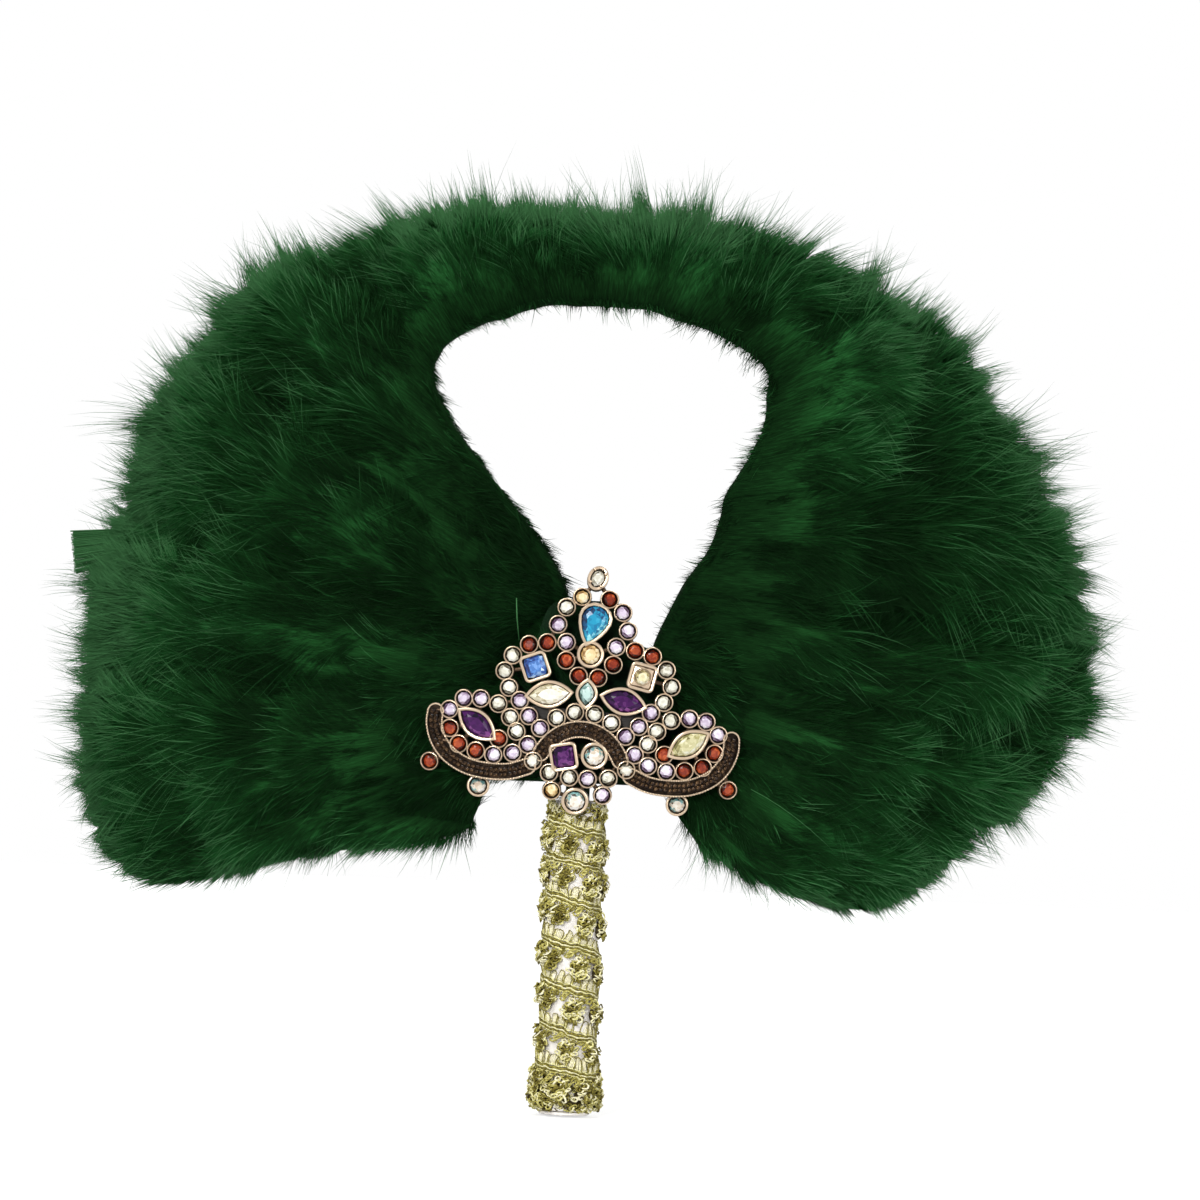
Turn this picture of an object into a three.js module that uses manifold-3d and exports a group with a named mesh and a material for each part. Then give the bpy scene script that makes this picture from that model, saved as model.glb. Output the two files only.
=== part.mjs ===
// A feather hand fan: a horseshoe of down feathers on a stiff board, a jewelled brooch over
// its hub, and a handle wrapped in satin and wound with lace. It is rigid and doesn't fold.
// Millimetres, +Z up along the handle, the front faces -Y. The origin is the middle of the
// handle's lower end face.
import * as THREE from 'three';
import { mergeVertices } from 'three/addons/utils/BufferGeometryUtils.js';
import Module from 'manifold-3d';

const wasm = await Module();
wasm.setup();

// Driving dimensions

const seatGap = 0.3;
const cutOverrun = 1;
const mergeDistance = 1e-4;
const mitreLimit = 2;
const rankSteps = 1000;

const gripLength = 105;
const coreDiameter = 13.4;
const satinWall = 1.6;
const buttDiscThickness = 1.2;

const mortiseDepth = 34;
const tongueWidth = 8;
const tonguePinDiameter = 2.4;
const tonguePinPitch = 14;

const laceTurns = 5.5;
const laceSteps = 24;
const laceWidth = 8.6;
const laceThickness = 1;
const laceFlatShare = 0.4;
const laceTopMargin = 4.6;
const cuffHeight = 16;
const cuffThickness = 2.6;

const hubRise = 1;
const hubHeight = 66;
const hubPlateRise = 5;
const hubCornerRadius = 6;
const boardThickness = 4;
const coverThickness = 2.4;

const openingHalfWidth = 53;
const openingRise = 52;
const openingHeight = 111;
const plumeHalfWidth = 178;
const plumeRise = 203;
const plumeDepth = 19;
const plumeBackDepth = 15;
const rootClearance = 2;
const rootThickness = 2.4;
const scallopDepth = 5;
const tuftGap = 0.7;
const frontTufts = 14;
const backTufts = 7;

const broochSpan = 52;
const broochShift = 1;
const broochLean = THREE.MathUtils.degToRad(-3.1);
const castingHeight = 3.2;
const castingFloor = 1;
const bezelDip = 0.4;
const redDropRecess = 1;
const domeStoneRise = 0.35;
const stoneProud = 0.9;
const stoneBevel = 0.7;
const rimOverlap = 0.3;

// Sizes that follow the brooch, as shares of its half span: the hub that carries it, the length
// over which the feathers lie pressed behind it, its dome, its metal and its stones
const broochShares = {
  hubHalfWidth: 0.59615,
  hubTopHalfWidth: 0.23077,
  pressedLength: 0.61538,
  broochRise: 0.46923,
  domeRise: 0.15385,
  domeRadius: 1.19231,
  domeCentreRise: 0.12885,
  bezelRadius: 0.06154,
  bezelWall: 0.02115,
  railWidth: 0.11154,
  railWall: 0.01538,
  barWidth: 0.03077,
  roundStoneDiameter: 0.12692,
  squareStoneSide: 0.13077,
  marquiseLength: 0.25769,
  marquiseWidth: 0.13077,
  smallMarquiseLength: 0.14615,
  smallMarquiseWidth: 0.09615,
  pearLength: 0.23846,
  pearWidth: 0.17692,
  tipStoneDiameter: 0.10385,
};

const dropDiameter = 7.6;
const dropStoneDiameter = 5.2;
const dropCupHeight = 2.2;
const dropStoneProud = 0.3;
const dropStandOff = 0.8;
const dropEyeRadius = 1.3;
const dropEyeWire = 0.35;
const dropNeck = 0.9;
const studRadius = 0.5;
const studHeadRadius = 0.75;
const studHeadThickness = 0.4;

const pinBarLength = 42;
const pinBarWidth = 4;
const pinBarThickness = 1;
const pinBarDrop = 2.4;
const pinRise = 3;
const pinAxisDrop = 1.7;
const pinHingeReach = 19;
const pinStemRadius = 0.45;
const pinStemTipRadius = 0.15;
const pinBarrelRadius = 1.5;
const pinBarrelHeight = 1.6;
const pinEarThickness = 0.7;
const pinRivetRadius = 0.6;
const pinRivetHeadRadius = 1.1;
const pinRivetHeadHeight = 0.5;
const catchRadius = 2.3;
const catchWall = 0.6;
const catchLength = 2.4;
const catchSlot = 1.6;
const rotorLeverLength = 1.5;
const rotorLeverWidth = 0.7;
const padSpread = 10;
const padWidth = 4;
const padHeight = 3;

// Places and sizes that follow from them

const {
  hubHalfWidth, hubTopHalfWidth, pressedLength, broochRise, domeRise, domeRadius, domeCentreRise,
  bezelRadius, bezelWall, railWidth, railWall, barWidth, roundStoneDiameter, squareStoneSide,
  marquiseLength, marquiseWidth, smallMarquiseLength, smallMarquiseWidth, pearLength, pearWidth,
  tipStoneDiameter,
} = Object.fromEntries(Object.entries(broochShares).map(([name, share]) => [name, share * broochSpan]));
const pinBarDepth = domeRise - pinBarDrop;
const pinAxisDepth = pinBarDepth - pinAxisDrop;
const sleeveRadius = coreDiameter / 2 + seatGap + satinWall;
const hubBottom = gripLength + hubRise;
const hubPlateBottom = hubBottom + hubPlateRise;
const coverFace = boardThickness / 2 + seatGap + coverThickness;
const broochCentre = new THREE.Vector3(broochShift, -coverFace, hubBottom + broochRise);

// Solids: geometry to a manifold-3d solid and back

function solid(geometry) {
  const bare = geometry.index ? geometry.toNonIndexed() : geometry.clone();
  bare.deleteAttribute('normal');
  bare.deleteAttribute('uv');
  const merged = mergeVertices(bare, mergeDistance);
  return new wasm.Manifold(new wasm.Mesh({
    numProp: 3,
    vertProperties: new Float32Array(merged.attributes.position.array),
    triVerts: new Uint32Array(merged.index.array),
  }));
}

function geometryOf(body) {
  const mesh = body.getMesh();
  const geometry = new THREE.BufferGeometry();
  geometry.setAttribute('position', new THREE.BufferAttribute(mesh.vertProperties, 3));
  geometry.setIndex(new THREE.BufferAttribute(mesh.triVerts, 1));
  return geometry;
}

function joined(bodies) {
  return bodies.reduce((sum, body) => sum.add(body));
}

// A closed skin over a row of rings of points. Each end is closed by a strip between the first
// and the second half of its ring, which lie over each other.
function loft(rings) {
  const around = rings[0].length;
  const points = rings.flat();
  const index = [];
  for (let ring = 0; ring < rings.length - 1; ring += 1) {
    for (let side = 0; side < around; side += 1) {
      const next = (side + 1) % around;
      const a = ring * around + side;
      const b = ring * around + next;
      index.push(a, b, b + around, a, b + around, a + around);
    }
  }
  const last = (rings.length - 1) * around;
  for (let near = 0; near < around / 2 - 1; near += 1) {
    const far = around - 1 - near;
    index.push(near, far, near + 1, near + 1, far, far - 1);
    index.push(last + near, last + near + 1, last + far, last + near + 1, last + far - 1, last + far);
  }
  const geometry = new THREE.BufferGeometry().setFromPoints(points);
  geometry.setIndex(index);
  if (signedVolume(points, index) < 0) {
    for (let i = 0; i < index.length; i += 3) [index[i + 1], index[i + 2]] = [index[i + 2], index[i + 1]];
    geometry.setIndex(index);
  }
  return geometry;
}

function signedVolume(points, index) {
  let sum = 0;
  for (let i = 0; i < index.length; i += 3) {
    const cross = new THREE.Vector3().crossVectors(points[index[i + 1]], points[index[i + 2]]);
    sum += points[index[i]].dot(cross);
  }
  return sum;
}

// An outline with its points in anticlockwise order when way is 1, and clockwise when it is -1.
function wound(outline, way) {
  return THREE.ShapeUtils.area(outline) * way > 0 ? outline : outline.slice().reverse();
}

// A flat outline in (x, z), extruded along Y from the face nearest the back to the front.
function plate(outline, holes, backY, thickness) {
  const shape = new THREE.Shape(wound(outline, 1));
  shape.holes = holes.map((hole) => new THREE.Path(wound(hole, -1)));
  const geometry = new THREE.ExtrudeGeometry(shape, { depth: thickness, bevelEnabled: false });
  return geometry.rotateX(Math.PI / 2).translate(0, backY, 0);
}

// An outline moved outwards by a distance, with its corners mitred; inwards when negative.
function offsetOutline(outline, distance) {
  const turn = Math.sign(THREE.ShapeUtils.area(outline));
  return outline.map((point, i) => {
    const before = outline[(i + outline.length - 1) % outline.length];
    const after = outline[(i + 1) % outline.length];
    const inward = point.clone().sub(before).normalize();
    const outward = after.clone().sub(point).normalize();
    const normal = new THREE.Vector2(inward.y + outward.y, -inward.x - outward.x).normalize();
    const slant = Math.max(normal.dot(new THREE.Vector2(inward.y, -inward.x)), 1 / mitreLimit);
    return point.clone().addScaledVector(normal, turn * distance / slant);
  });
}

function ring(innerRadius, outerRadius, bottom, top, segments) {
  const profile = [
    [innerRadius, bottom], [outerRadius, bottom], [outerRadius, top], [innerRadius, top],
    [innerRadius, bottom],
  ].map(([x, y]) => new THREE.Vector2(x, y));
  return new THREE.LatheGeometry(profile, segments).rotateX(Math.PI / 2);
}

function cylinderAlongZ(radius, bottom, top, segments) {
  const height = top - bottom;
  return new THREE.CylinderGeometry(radius, radius, height, segments)
    .rotateX(Math.PI / 2)
    .translate(0, 0, bottom + height / 2);
}

function boxBetween(low, high) {
  const size = new THREE.Vector3().subVectors(high, low);
  const middle = new THREE.Vector3().addVectors(high, low).multiplyScalar(1 / 2);
  return new THREE.BoxGeometry(size.x, size.y, size.z).translate(middle.x, middle.y, middle.z);
}

// Scene graph

const fan = new THREE.Group();

const finishes = {
  wood: { color: 0xb08a5c, roughness: 0.7, metalness: 0 },
  satin: { color: 0xf2e6e0, roughness: 0.45, metalness: 0 },
  lace: { color: 0x9c9448, roughness: 0.7, metalness: 0.1 },
  board: { color: 0x2a3a2c, roughness: 0.9, metalness: 0 },
  cover: { color: 0x0d2a16, roughness: 0.9, metalness: 0 },
  feather: { color: 0x0f4a24, roughness: 0.9, metalness: 0 },
  roseGold: { color: 0xcdb49a, roughness: 0.35, metalness: 1 },
  steel: { color: 0xb8b8b8, roughness: 0.3, metalness: 1 },
  darkStone: { color: 0x3c2d19, roughness: 0.2, metalness: 0 },
  clearStone: { color: 0xdcdcc8, roughness: 0.05, metalness: 0 },
  tealStone: { color: 0x1e82af, roughness: 0.05, metalness: 0 },
  champagneStone: { color: 0xe1c88c, roughness: 0.05, metalness: 0 },
  blueStone: { color: 0x5f91d2, roughness: 0.05, metalness: 0 },
  aquaStone: { color: 0xaad2d7, roughness: 0.05, metalness: 0 },
  creamStone: { color: 0xf0ebcd, roughness: 0.05, metalness: 0 },
  purpleStone: { color: 0x4b1e6e, roughness: 0.05, metalness: 0 },
  citrineStone: { color: 0xcdcd8c, roughness: 0.05, metalness: 0 },
};

function addPiece(name, geometry, finish, parent = fan) {
  const mesh = new THREE.Mesh(geometry, new THREE.MeshStandardMaterial(finishes[finish]));
  mesh.name = name;
  parent.add(mesh);
}

// Handle: a dowel with a mortise in its top, in a satin sleeve, closed by a satin disc

const sleeveBottom = buttDiscThickness + seatGap;
const tongueBottom = gripLength - mortiseDepth;
const pinHeights = [-1, 1].map((side) => (gripLength + tongueBottom + side * tonguePinPitch) / 2);
const coreRadius = coreDiameter / 2;
const pinHalfLength = coreRadius - seatGap;

function tonguePinHole(height) {
  const radius = tonguePinDiameter / 2 + seatGap;
  const length = coreDiameter + cutOverrun;
  return solid(new THREE.CylinderGeometry(radius, radius, length, 12).translate(0, 0, height));
}

function handleCore() {
  const mortise = boxBetween(
    new THREE.Vector3(-tongueWidth / 2 - seatGap, -boardThickness / 2 - seatGap, tongueBottom),
    new THREE.Vector3(tongueWidth / 2 + seatGap, boardThickness / 2 + seatGap, gripLength + cutOverrun),
  );
  const dowel = solid(cylinderAlongZ(coreRadius, sleeveBottom, gripLength, 24)).subtract(solid(mortise));
  return geometryOf(pinHeights.reduce((body, height) => body.subtract(tonguePinHole(height)), dowel));
}

addPiece('handle_core', handleCore(), 'wood');
addPiece('satin_sleeve', ring(coreRadius + seatGap, sleeveRadius, sleeveBottom, gripLength, 32), 'satin');
addPiece('butt_disc', cylinderAlongZ(sleeveRadius, 0, buttDiscThickness, 32), 'satin');
['tongue_pin_lower', 'tongue_pin_upper'].forEach((name, i) => {
  const radius = tonguePinDiameter / 2;
  const pin = new THREE.CylinderGeometry(radius, radius, 2 * pinHalfLength, 12);
  addPiece(name, pin.translate(0, 0, pinHeights[i]), 'wood');
});

// Lace: one galloon wound down the sleeve, falling to the right across the front, and its
// gathered end bunched in a cuff round the butt

const cuffBottom = buttDiscThickness / 2;
const cuffTop = cuffBottom + cuffHeight;
const laceRadius = sleeveRadius + seatGap + laceThickness / 2;
const laceHighest = gripLength - laceTopMargin - laceWidth / 2;
const laceLowest = cuffTop + seatGap + laceWidth / 2;

function laceSection(step) {
  const share = step / (laceTurns * laceSteps);
  const angle = share * laceTurns * 2 * Math.PI;
  const height = THREE.MathUtils.lerp(laceHighest, laceLowest, share);
  const section = [
    [-laceThickness / 2, -laceFlatShare], [0, -1 / 2], [laceThickness / 2, -laceFlatShare],
    [laceThickness / 2, laceFlatShare], [0, 1 / 2], [-laceThickness / 2, laceFlatShare],
  ];
  return section.map(([out, along]) => {
    const radius = laceRadius + out;
    const x = radius * Math.sin(angle);
    const y = -radius * Math.cos(angle);
    return new THREE.Vector3(x, y, height + along * laceWidth);
  });
}

function laceRings() {
  const steps = laceTurns * laceSteps;
  return Array.from({ length: steps + 1 }, (_, step) => laceSection(step));
}

// The least distance between two stretches of the winding that are half a turn or more apart.
function windingGap(rings) {
  let least = Infinity;
  const apart = laceSteps / 2;
  rings.forEach((near, i) => rings.slice(i + apart).forEach((far) => {
    near.forEach((p) => far.forEach((q) => { least = Math.min(least, p.distanceTo(q)); }));
  }));
  return least;
}

const winding = laceRings();
console.log('lace winding, least gap to itself', windingGap(winding).toFixed(2), 'mm');
addPiece('lace_winding', loft(winding), 'lace');

function laceCuff() {
  const inner = sleeveRadius + seatGap;
  const bulgeShares = [[0, 0.3], [0.12, 0.8], [0.35, 1], [0.55, 0.75], [0.8, 0.9], [1, 0.35]];
  const outside = bulgeShares.map(([rise, out]) => (
    new THREE.Vector2(inner + out * cuffThickness, cuffBottom + rise * cuffHeight)));
  const profile = [
    new THREE.Vector2(inner, cuffBottom), ...outside, new THREE.Vector2(inner, cuffTop),
    new THREE.Vector2(inner, cuffBottom),
  ];
  return new THREE.LatheGeometry(profile, 24).rotateX(Math.PI / 2);
}

addPiece('lace_butt_cuff', laceCuff(), 'lace');

// Ribs: the lines that the feathers follow, from their roots at the hub or the opening to
// their tips. Between two ribs lies one tuft of the front, and the splines through the ribs'
// ends are the plumage's inner and outer outlines.

function hubSide(riseShare) {
  return THREE.MathUtils.lerp(hubHalfWidth, hubTopHalfWidth, riseShare);
}

function hubRoot(side, riseShare) {
  const x = side * (hubSide(riseShare) + rootClearance);
  return new THREE.Vector3(x, 0, hubBottom + riseShare * hubHeight);
}

function openingRoot(xShare, zShare) {
  const z = hubBottom + openingRise + zShare * openingHeight;
  return new THREE.Vector3(xShare * openingHalfWidth, 0, z);
}

function tip(xShare, zShare) {
  return new THREE.Vector3(xShare * plumeHalfWidth, 0, hubBottom + zShare * plumeRise);
}

const ribs = [
  { root: hubRoot(-1, -0.04), tip: tip(-0.21, -0.08), depthShare: 0.35 },
  { root: hubRoot(-1, 0.1), tip: tip(-0.52, -0.12), depthShare: 0.7 },
  { root: hubRoot(-1, 0.27), tip: tip(-0.85, -0.15), depthShare: 1 },
  { root: hubRoot(-1, 0.48), tip: tip(-0.99, 0.17), depthShare: 1 },
  { root: hubRoot(-1, 0.72), tip: tip(-0.92, 0.45), depthShare: 1 },
  { root: openingRoot(-0.17, 0.19), tip: tip(-0.78, 0.71), depthShare: 1 },
  { root: openingRoot(-0.96, 0.79), tip: tip(-0.53, 0.9), depthShare: 0.85 },
  { root: openingRoot(-0.04, 1), tip: tip(-0.03, 0.98), depthShare: 0.8 },
  { root: openingRoot(1, 0.84), tip: tip(0.54, 0.87), depthShare: 0.85 },
  { root: openingRoot(0.86, 0.45), tip: tip(0.85, 0.58), depthShare: 1 },
  { root: openingRoot(0.58, 0.16), tip: tip(0.98, 0.29), depthShare: 1 },
  { root: openingRoot(0.42, -0.03), tip: tip(0.93, 0.1), depthShare: 1 },
  { root: hubRoot(1, 0.48), tip: tip(0.79, -0.03), depthShare: 1 },
  { root: hubRoot(1, 0.21), tip: tip(0.53, -0.15), depthShare: 0.8 },
  { root: hubRoot(1, -0.04), tip: tip(0.24, -0.08), depthShare: 0.35 },
];
const rootCurve = new THREE.CatmullRomCurve3(ribs.map((rib) => rib.root));
const tipCurve = new THREE.CatmullRomCurve3(ribs.map((rib) => rib.tip));

function curvePoint(curve, place) {
  return curve.getPoint(THREE.MathUtils.clamp(place / (ribs.length - 1), 0, 1));
}

function ribPoint(place, along) {
  return curvePoint(rootCurve, place).lerp(curvePoint(tipCurve, place), along);
}

function depthShareAt(place) {
  const low = Math.min(Math.floor(place), ribs.length - 2);
  return THREE.MathUtils.lerp(ribs[low].depthShare, ribs[low + 1].depthShare, place - low);
}

// Board: the stiff ring that carries the feathers, with its tongue down into the handle

const boardReachShare = 0.42;
const boardEdgeShare = 0.1;
const boardHoleLowShare = 0.8;
const boardHoleStepsPerRib = 4;
const firstOpeningRib = 5;
const lastOpeningRib = 11;

function flat(point) {
  return new THREE.Vector2(point.x, point.z);
}

function boardOutline() {
  const tongueFoot = tongueBottom + seatGap;
  const reach = ribs.map((_, i) => flat(ribPoint(i, boardReachShare)));
  return [
    new THREE.Vector2(-tongueWidth / 2, tongueFoot),
    new THREE.Vector2(-tongueWidth / 2, hubPlateBottom),
    new THREE.Vector2(-hubHalfWidth, hubPlateBottom),
    ...reach,
    new THREE.Vector2(hubHalfWidth, hubPlateBottom),
    new THREE.Vector2(tongueWidth / 2, hubPlateBottom),
    new THREE.Vector2(tongueWidth / 2, tongueFoot),
  ];
}

function boardHole() {
  const hole = [];
  const steps = (lastOpeningRib - firstOpeningRib) * boardHoleStepsPerRib;
  for (let i = 0; i <= steps; i += 1) {
    hole.push(flat(ribPoint(firstOpeningRib + i / boardHoleStepsPerRib, boardEdgeShare)));
  }
  hole.push(new THREE.Vector2(hubSide(boardHoleLowShare), hubBottom + boardHoleLowShare * hubHeight));
  hole.push(new THREE.Vector2(-hubTopHalfWidth, hubBottom + hubHeight));
  return hole;
}

function board(growth) {
  const outline = offsetOutline(boardOutline(), growth);
  const hole = offsetOutline(boardHole(), -growth);
  return solid(plate(outline, [hole], boardThickness / 2 + growth, boardThickness + 2 * growth));
}

const drilledBoard = pinHeights.reduce((body, height) => body.subtract(tonguePinHole(height)), board(0));
addPiece('horseshoe_board', geometryOf(drilledBoard), 'board');

// Covers: dark card and felt over the feather roots, front and back

function roundedOutline(corners, radius) {
  const path = new THREE.Path();
  corners.forEach((corner, i) => {
    const before = corners[(i + corners.length - 1) % corners.length];
    const after = corners[(i + 1) % corners.length];
    const from = corner.clone().add(before.clone().sub(corner).setLength(radius));
    const to = corner.clone().add(after.clone().sub(corner).setLength(radius));
    if (i === 0) path.moveTo(from.x, from.y);
    else path.lineTo(from.x, from.y);
    path.quadraticCurveTo(corner.x, corner.y, to.x, to.y);
  });
  const points = path.getPoints(4);
  return points.filter((p, i) => i === 0 || p.distanceTo(points[i - 1]) > seatGap);
}

const hubPlateSide = hubSide(hubPlateRise / hubHeight);
const hubCorners = [
  new THREE.Vector2(-hubPlateSide, hubPlateBottom),
  new THREE.Vector2(hubPlateSide, hubPlateBottom),
  new THREE.Vector2(hubTopHalfWidth, hubBottom + hubHeight),
  new THREE.Vector2(-hubTopHalfWidth, hubBottom + hubHeight),
];
const coverOutline = roundedOutline(hubCorners, hubCornerRadius);
const spaceOutline = offsetOutline(coverOutline, seatGap);
const coverSpace = solid(plate(spaceOutline, [], plumeBackDepth, plumeBackDepth + plumeDepth));
addPiece('hub_front_cover', plate(coverOutline, [], -boardThickness / 2 - seatGap, coverThickness), 'cover');
addPiece('hub_back_cover', plate(coverOutline, [], coverFace, coverThickness), 'cover');

// Tufts: bunches of down between two ribs, pressed flat at their roots and full beyond,
// with a rounded outer end. The board lies between the front and the back ones.

const columnShares = [0, 0.25, 0.5, 0.75, 1];
const fullnessShares = [[0, 0], [0, 0], [0.3, 0.8], [0.6, 1], [0.85, 0.75], [1, 0.3]];
const crownDropShare = 0.22;
const insideClearance = seatGap / 2;
const openingPressedShare = 0.05;
const pressedLimitShare = 0.5;
const scallopDipShare = 0.3;
const rootLevel = boardThickness / 2 + rootThickness;

function ribPressedShare(i) {
  const length = ribs[i].root.distanceTo(ribs[i].tip);
  const atOpening = i > firstOpeningRib && i < lastOpeningRib;
  return atOpening ? openingPressedShare : Math.min(pressedLength / length, pressedLimitShare);
}

function pressedShare(place) {
  const low = Math.min(Math.floor(place), ribs.length - 2);
  return THREE.MathUtils.lerp(ribPressedShare(low), ribPressedShare(low + 1), place - low);
}

function tuft(first, last, depth, facing) {
  const span = last - first;
  const grid = fullnessShares.map(([run, fullness], row) => columnShares.map((column) => {
    const rough = first + column * span;
    const pressed = pressedShare(rough);
    const along = row === 0 ? 0 : pressed + run * (1 - pressed);
    const width = ribPoint(first, along).distanceTo(ribPoint(last, along));
    const inset = tuftGap / 2 / width * span;
    const place = THREE.MathUtils.lerp(first + inset, last - inset, column);
    const bulge = run * scallopDepth * (Math.sin(Math.PI * column) - scallopDipShare);
    const outward = ribPoint(place, 1).sub(ribPoint(place, 0)).normalize();
    const point = ribPoint(place, along).addScaledVector(outward, bulge);
    const crown = 1 - crownDropShare * (2 * column - 1) ** 2;
    const rise = (depth * depthShareAt(place) - rootThickness) * fullness * crown;
    return { point, level: rootLevel + Math.max(rise, 0) };
  }));
  const rings = grid.map((row) => {
    const under = row.map(({ point }) => new THREE.Vector3(point.x, facing * insideClearance, point.z));
    const over = row.map(({ point, level }) => new THREE.Vector3(point.x, facing * level, point.z));
    return [...under, ...over.reverse()];
  });
  return solid(loft(rings)).subtract(board(seatGap)).subtract(coverSpace);
}

function addTufts(count, label, depth, facing) {
  const span = (ribs.length - 1) / count;
  for (let i = 0; i < count; i += 1) {
    const body = tuft(i * span, (i + 1) * span, depth, facing);
    addPiece(label + String(i + 1).padStart(2, '0'), geometryOf(body), 'feather');
  }
}

addTufts(frontTufts, 'front_tuft_', plumeDepth, -1);
addTufts(backTufts, 'back_tuft_', plumeBackDepth, 1);

// Brooch: it is laid out flat, with x to the right, y up and z towards the viewer, then bent
// over a shallow dome and stood up in front of the hub

const brooch = new THREE.Group();
brooch.position.copy(broochCentre);
brooch.rotation.y = -broochLean;
fan.add(brooch);

function domeAt(x, y) {
  return domeRise * (1 - (x * x + (y - domeCentreRise) ** 2) / domeRadius ** 2);
}

function standUp(geometry) {
  return geometry.rotateX(Math.PI / 2);
}

function bent(geometry) {
  const position = geometry.attributes.position;
  for (let i = 0; i < position.count; i += 1) {
    position.setZ(i, position.getZ(i) + domeAt(position.getX(i), position.getY(i)));
  }
  return geometry;
}

// A stone or a setting keeps its shape, and is tilted to the dome where it sits.
function tilted(geometry, x, y) {
  const slopeX = -2 * domeRise * x / domeRadius ** 2;
  const slopeY = -2 * domeRise * (y - domeCentreRise) / domeRadius ** 2;
  const position = geometry.attributes.position;
  for (let i = 0; i < position.count; i += 1) {
    const rise = slopeX * (position.getX(i) - x) + slopeY * (position.getY(i) - y);
    position.setZ(i, position.getZ(i) + domeAt(x, y) + rise);
  }
  return geometry;
}

function prism(outline, bottom, top) {
  const shape = new THREE.Shape(outline);
  return new THREE.ExtrudeGeometry(shape, { depth: top - bottom, bevelEnabled: false })
    .translate(0, 0, bottom);
}

function roundOutline(diameter, sides) {
  return Array.from({ length: sides }, (_, i) => {
    const angle = 2 * Math.PI * i / sides;
    return new THREE.Vector2(Math.cos(angle), Math.sin(angle)).multiplyScalar(diameter / 2);
  });
}

function squareOutline(side) {
  return [[-1, -1], [1, -1], [1, 1], [-1, 1]].map(([x, y]) => new THREE.Vector2(x * side / 2, y * side / 2));
}

function marquiseOutline(length, width) {
  const shares = [0, 0.18, 0.5, 0.82];
  const half = [1, -1].map((side) => shares.map((share) => {
    const x = side * length * (1 / 2 - share);
    return new THREE.Vector2(x, side * width / 2 * Math.sin(Math.PI * share) ** 0.8);
  }));
  return half.flat();
}

function pearOutline(length, width) {
  const shoulderShares = [
    [0, -0.5], [0.28, -0.24], [0.46, 0.05], [0.46, 0.26], [0.28, 0.44], [0, 0.5],
    [-0.28, 0.44], [-0.46, 0.26], [-0.46, 0.05], [-0.28, -0.24],
  ];
  return shoulderShares.map(([x, y]) => new THREE.Vector2(x * width, y * length));
}

function placed(outline, x, y, turn) {
  const centre = new THREE.Vector2();
  return outline.map((p) => p.clone().rotateAround(centre, turn).add(new THREE.Vector2(x, y)));
}

// Small round stones, as shares of the half span: right-hand places, and each has a twin on
// the left
const smallStoneShares = [
  [0.087, 0.812], [0.179, 0.737], [0.222, 0.624], [0.158, 0.517], [0.279, 0.503],
  [0.392, 0.48], [0.15, 0.403], [0.488, 0.402], [0.062, 0.312], [0.53, 0.299],
  [0.492, 0.197], [0.416, 0.123], [0.549, 0.088], [0.663, 0.11], [0.771, 0.1],
  [0.855, 0.023], [0.063, 0.081], [0.174, 0.035], [0.349, 0.03], [0.466, 0.01],
  [0.271, -0.04], [0.418, -0.075], [0.841, -0.095], [0.526, -0.132], [0.339, -0.151],
  [0.776, -0.19], [0.43, -0.213], [0.663, -0.222], [0.55, -0.237], [0.296, -0.25],
  [0.188, -0.315], [0.058, -0.331], [0.162, -0.426],
];
const redDropShares = [0.951, -0.318];
const hangingDropShares = [0.64, -0.449];

// Large stones: name, finish, outline, place in shares of the half span, and turn in degrees
const largeStones = [
  ['tip_stone', 'clearStone', roundOutline(tipStoneDiameter, 12), 0, 0.938, 0],
  ['teal_pear_stone', 'tealStone', pearOutline(pearLength, pearWidth), 0, 0.643, -14],
  ['champagne_round_stone', 'champagneStone', roundOutline(roundStoneDiameter, 12), 0, 0.454, 0],
  ['blue_square_stone', 'blueStone', squareOutline(squareStoneSide), -0.34, 0.343, 24],
  ['upper_iridescent_stone', 'clearStone', squareOutline(squareStoneSide), 0.34, 0.343, -10],
  ['aqua_marquise_stone', 'aquaStone',
    marquiseOutline(smallMarquiseLength, smallMarquiseWidth), 0, 0.205, 90],
  ['cream_marquise_stone', 'creamStone',
    marquiseOutline(marquiseLength, marquiseWidth), -0.236, 0.179, 10],
  ['purple_marquise_stone', 'purpleStone',
    marquiseOutline(marquiseLength, marquiseWidth), 0.236, 0.179, -10],
  ['left_purple_marquise_stone', 'purpleStone',
    marquiseOutline(marquiseLength, marquiseWidth), -0.672, -0.054, -34],
  ['citrine_marquise_stone', 'citrineStone',
    marquiseOutline(marquiseLength, marquiseWidth), 0.672, -0.054, 34],
  ['purple_square_stone', 'purpleStone', squareOutline(squareStoneSide), -0.106, -0.205, 14],
  ['iridescent_round_stone', 'clearStone', roundOutline(roundStoneDiameter, 12), 0.086, -0.181, 0],
  ['bottom_iridescent_stone', 'clearStone', roundOutline(roundStoneDiameter, 12), -0.008, -0.478, 0],
].map(([name, finish, outline, xShare, yShare, turn]) => {
  const x = xShare * broochSpan;
  const y = yShare * broochSpan;
  const radius = Math.min(...outline.map((point) => point.length())) + seatGap + bezelWall;
  return { name, finish, x, y, radius, outline: placed(outline, x, y, THREE.MathUtils.degToRad(turn)) };
});

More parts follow.
